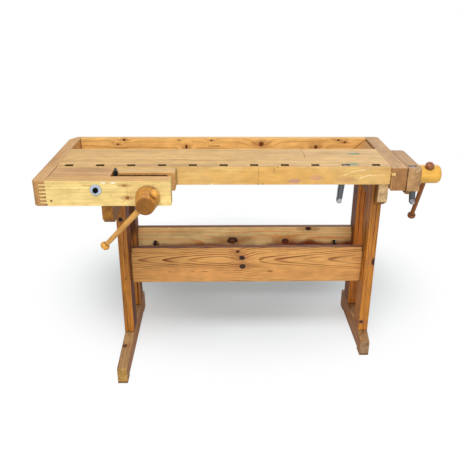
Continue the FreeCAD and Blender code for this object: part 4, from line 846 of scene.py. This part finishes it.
dress("post_right_rear", timber(
    "post_right_rear_pine", "Z", heart=(0.6, 0.28, 0), taper=-4,
    tints=[(FRONT, (1.15, 0.94, 0.70), 1.0), (LEFT, shaded_red_heart, 0.7)], **post,
    knots=[((0.501, 0.225, 0.640), (0.02, 0.016, 0.018), "2A0A04", 0.1),
           ((0.516, BACK_POST_FACE, 0.700), (0.018, 0.02, 0.016), "3A0C04", 0.4)]), 0.0015)
bearer = dict(stand, early="A66F1E", late="5A2C08")
dress("bearer_left", timber("bearer_left_pine", "Y", heart=(-0.44, 0, 0.6), **bearer), 0.0015)
# The right bearer's front end grain is made much paler: partly its own pale end grain, partly painted light,
# since that end stands fully in the light.
dress("bearer_right", timber("bearer_right_pine", "Y", heart=(0.6, 0, 0.6),
                             tints=[(FRONT, (1.95, 3.3, 19), 1.0)], **bearer), 0.0015)
foot = dict(stand, early="B87E42", late="6A3818")
dress("foot_left", timber(
    "foot_left_pine", "Y", heart=(-0.43, 0, 0.2), taper=6,
    tints=[(UP, (1.15, 1.6, 2.6), 1.0), (FRONT, (1.3, 1.75, 1.75), 1.0)],
    knots=[((-0.509, -0.151, 0.084), (0.010, 0.012, 0.010), "3A2414", 0.6)], **foot), 0.002)
dress("foot_right", timber(
    "foot_right_pine", "Y", heart=(0.47, 0, 0.2), taper=6,
    tints=[(UP, (1.0, 1.3, 2.1), 1.0), (FRONT, (0.92, 1.32, 2.6), 1.0)], **foot), 0.002)
dress("foot_pads", timber("pad_wood", "Y", "8F6A3C", "5A3C1A", grime=0.6), 0.001)
shelf = dict(sway=0.010, fleck=0.6, grime=0.2, cuts=0.35, dirt="6A3C16", rubbed_and_lit="EDBE78", gloss=0.08)
DARK_TOP = (UP, (0.30, 0.18, 0.08), 1.0)
SHELF_FACE, BACK_SHELF_FACE = 0.004, 0.232


def shelf_dash(x, z, length):
    """A short dark mark on the front of the front stretcher."""
    start, end = (x - length / 2, SHELF_FACE, z), (x + length / 2, SHELF_FACE, z + 0.001)
    return (start, end, (0, 0, 0), 0.0018, "2A1206", 0.85)


dress("stretcher_front", timber(
    "stretcher_front_pine", "X", "E4AA60", "7C3C16", ring=0.0065, heart=(0, 0.030, 0.408), taper=-9,
    contrast=1.0, streak=0.5, **shelf, tints=[DARK_TOP],
    knots=[((-0.031, SHELF_FACE, 0.4475), (0.009, 0.02, 0.007), "3A1406", 0),
           ((-0.012, SHELF_FACE, 0.418), (0.013, 0.02, 0.011), "0E0402", 0),
           ((-0.010, SHELF_FACE, 0.377), (0.014, 0.02, 0.012), "0E0402", 0.3)],
    scores=[shelf_dash(*dash) for dash in (
        (-0.321, 0.353, 0.012), (-0.225, 0.353, 0.008), (-0.175, 0.353, 0.026), (-0.192, 0.314, 0.003),
        (0.070, 0.314, 0.003))],
    blots=[((-0.29, SHELF_FACE, 0.340), (0.30, 0.03, 0.042), "DC9C58", 0.75),
           ((0.28, SHELF_FACE, 0.340), (0.30, 0.03, 0.042), "DC9C58", 0.75),
           ((0.110, SHELF_FACE, 0.353), (0.014, 0.02, 0.006), "8A4A1C", 0.7)]), 0.0018)
# The rear stretcher's colours are much paler than the front one's: painted light, making up for the shade
# that the slab casts over it.
dress("stretcher_rear", timber(
    "stretcher_rear_pine", "X", "FFE4A4", "F0A254", ring=0.008, heart=(0, 0.30, 0.39), contrast=1.0,
    streak=1.2, **shelf, tints=[DARK_TOP],
    knots=[((-0.048, BACK_SHELF_FACE, 0.399), (0.027, 0.02, 0.018), "1A0804", 0.9),
           ((0.196, BACK_SHELF_FACE, 0.3945), (0.018, 0.02, 0.014), "1A0804", 0.6),
           ((0.299, BACK_SHELF_FACE, 0.457), (0.015, 0.02, 0.009), "2E1006", 0)],
    # Painted shadow: the dark reddish-brown band along the lower part of its face stands for the front
    # stretcher's shadow.
    blots=[((-0.20, BACK_SHELF_FACE, 0.362), (0.36, 0.02, 0.034), "7A2A02", 0.95),
           ((0.33, BACK_SHELF_FACE, 0.370), (0.28, 0.02, 0.036), "7A2A02", 0.95)]), 0.0018)
dress("stretcher_washers", zinc, 0)
dress("stretcher_nuts", blackened, 0)

# A bolt or screw with a hexagon head; the last fifth of the head is chamfered.
hex_tree, given = new_tree("hex_bolt", {"Head": 0.017, "Head height": 0.007, "Shank": 0.010, "Length": 0.1})
tree = hex_tree
flat_share, chamfer_share, crown_share, crown_seat = 0.8, 0.2, 0.41, 0.98
half = times(tree, given["Head"], 0.5)
flats = times(tree, given["Head height"], flat_share)
prism = node(tree, "GeometryNodeMeshCylinder", {"Vertices": 6, "Radius": half, "Depth": flats}).outputs[0]
crown = node(tree, "GeometryNodeMeshCone", {
    "Vertices": 6, "Radius Bottom": half, "Radius Top": times(tree, given["Head"], crown_share),
    "Depth": times(tree, given["Head height"], chamfer_share)}).outputs[0]
stem = node(tree, "GeometryNodeMeshCylinder", {
    "Vertices": 16, "Depth": given["Length"], "Radius": times(tree, given["Shank"], 0.5)}).outputs[0]
end_tree(tree, given, [lifted(tree, prism, times(tree, flats, 0.5)),
                       lifted(tree, crown, times(tree, flats, crown_seat)),
                       lifted(tree, stem, times(tree, given["Length"], -0.5))])

# A wood screw whose flat head stands a little proud, with a slot cut across it.
slot_tree, given = new_tree("slotted_screw", {"Head": 0.009, "Proud": 0.001, "Shank": 0.006, "Length": 0.036})
tree = slot_tree
disc = node(tree, "GeometryNodeMeshCylinder", {
    "Vertices": 20, "Radius": times(tree, given["Head"], 0.5),
    "Depth": times(tree, given["Proud"], 2)}).outputs[0]
blade = {0: times(tree, given["Head"], 1.3), 1: given["Proud"], 2: given["Proud"]}
blade = node(tree, "CombineXYZ", blade).outputs[0]
blade = lifted(tree, node(tree, "GeometryNodeMeshCube", {"Size": blade}).outputs[0], given["Proud"])
cut_head = tree.nodes.new("GeometryNodeMeshBoolean")
tree.links.new(disc, cut_head.inputs[0])
tree.links.new(blade, cut_head.inputs[1])
stem = node(tree, "GeometryNodeMeshCylinder", {
    "Vertices": 12, "Depth": given["Length"], "Radius": times(tree, given["Shank"], 0.5)}).outputs[0]
end_tree(tree, given, [cut_head.outputs[0], lifted(tree, stem, times(tree, given["Length"], -0.5))])

# At each end of the bench: the way the heads face, then the X of the outer faces of
# the bolts' washers and of the bearer, on which the heads sit.
DOWN = (0, 0, -1)
sides = ((LEFT, -0.524, -0.530), (RIGHT, 0.544, 0.550))
bolt_rows, bolt_level = (0.018, 0.246), 0.3845
lap_rows, lap_levels = (-0.008, 0.229), (0.710, 0.758)
lag_columns, lag_rows, bearer_underside = (-0.5105, 0.5305), (0.068, 0.135), 0.680
bolts, lap_screws = [], []
for aim, washer_face, bearer_face in sides:
    spots = [(washer_face, y, bolt_level) for y in bolt_rows]
    bolts.append(grown(hex_tree, zinc, aim, spots, Length=0.123))
    spots = [(bearer_face, y, z) for y in lap_rows for z in lap_levels]
    lap_screws.append(grown(slot_tree, zinc, aim, spots))
spots = [(x, y, bearer_underside) for x in lag_columns for y in lag_rows]
lag_size = {"Head": 0.0145, "Head height": 0.0055, "Shank": 0.008, "Length": 0.142}
lag_screws = grown(hex_tree, zinc, DOWN, spots, **lag_size)
stand_in("stretcher_bolts", bolts, zinc, "bench")
stand_in("lap_screws", lap_screws, zinc, "bench")
stand_in("lag_screws", [lag_screws], zinc, "bench")
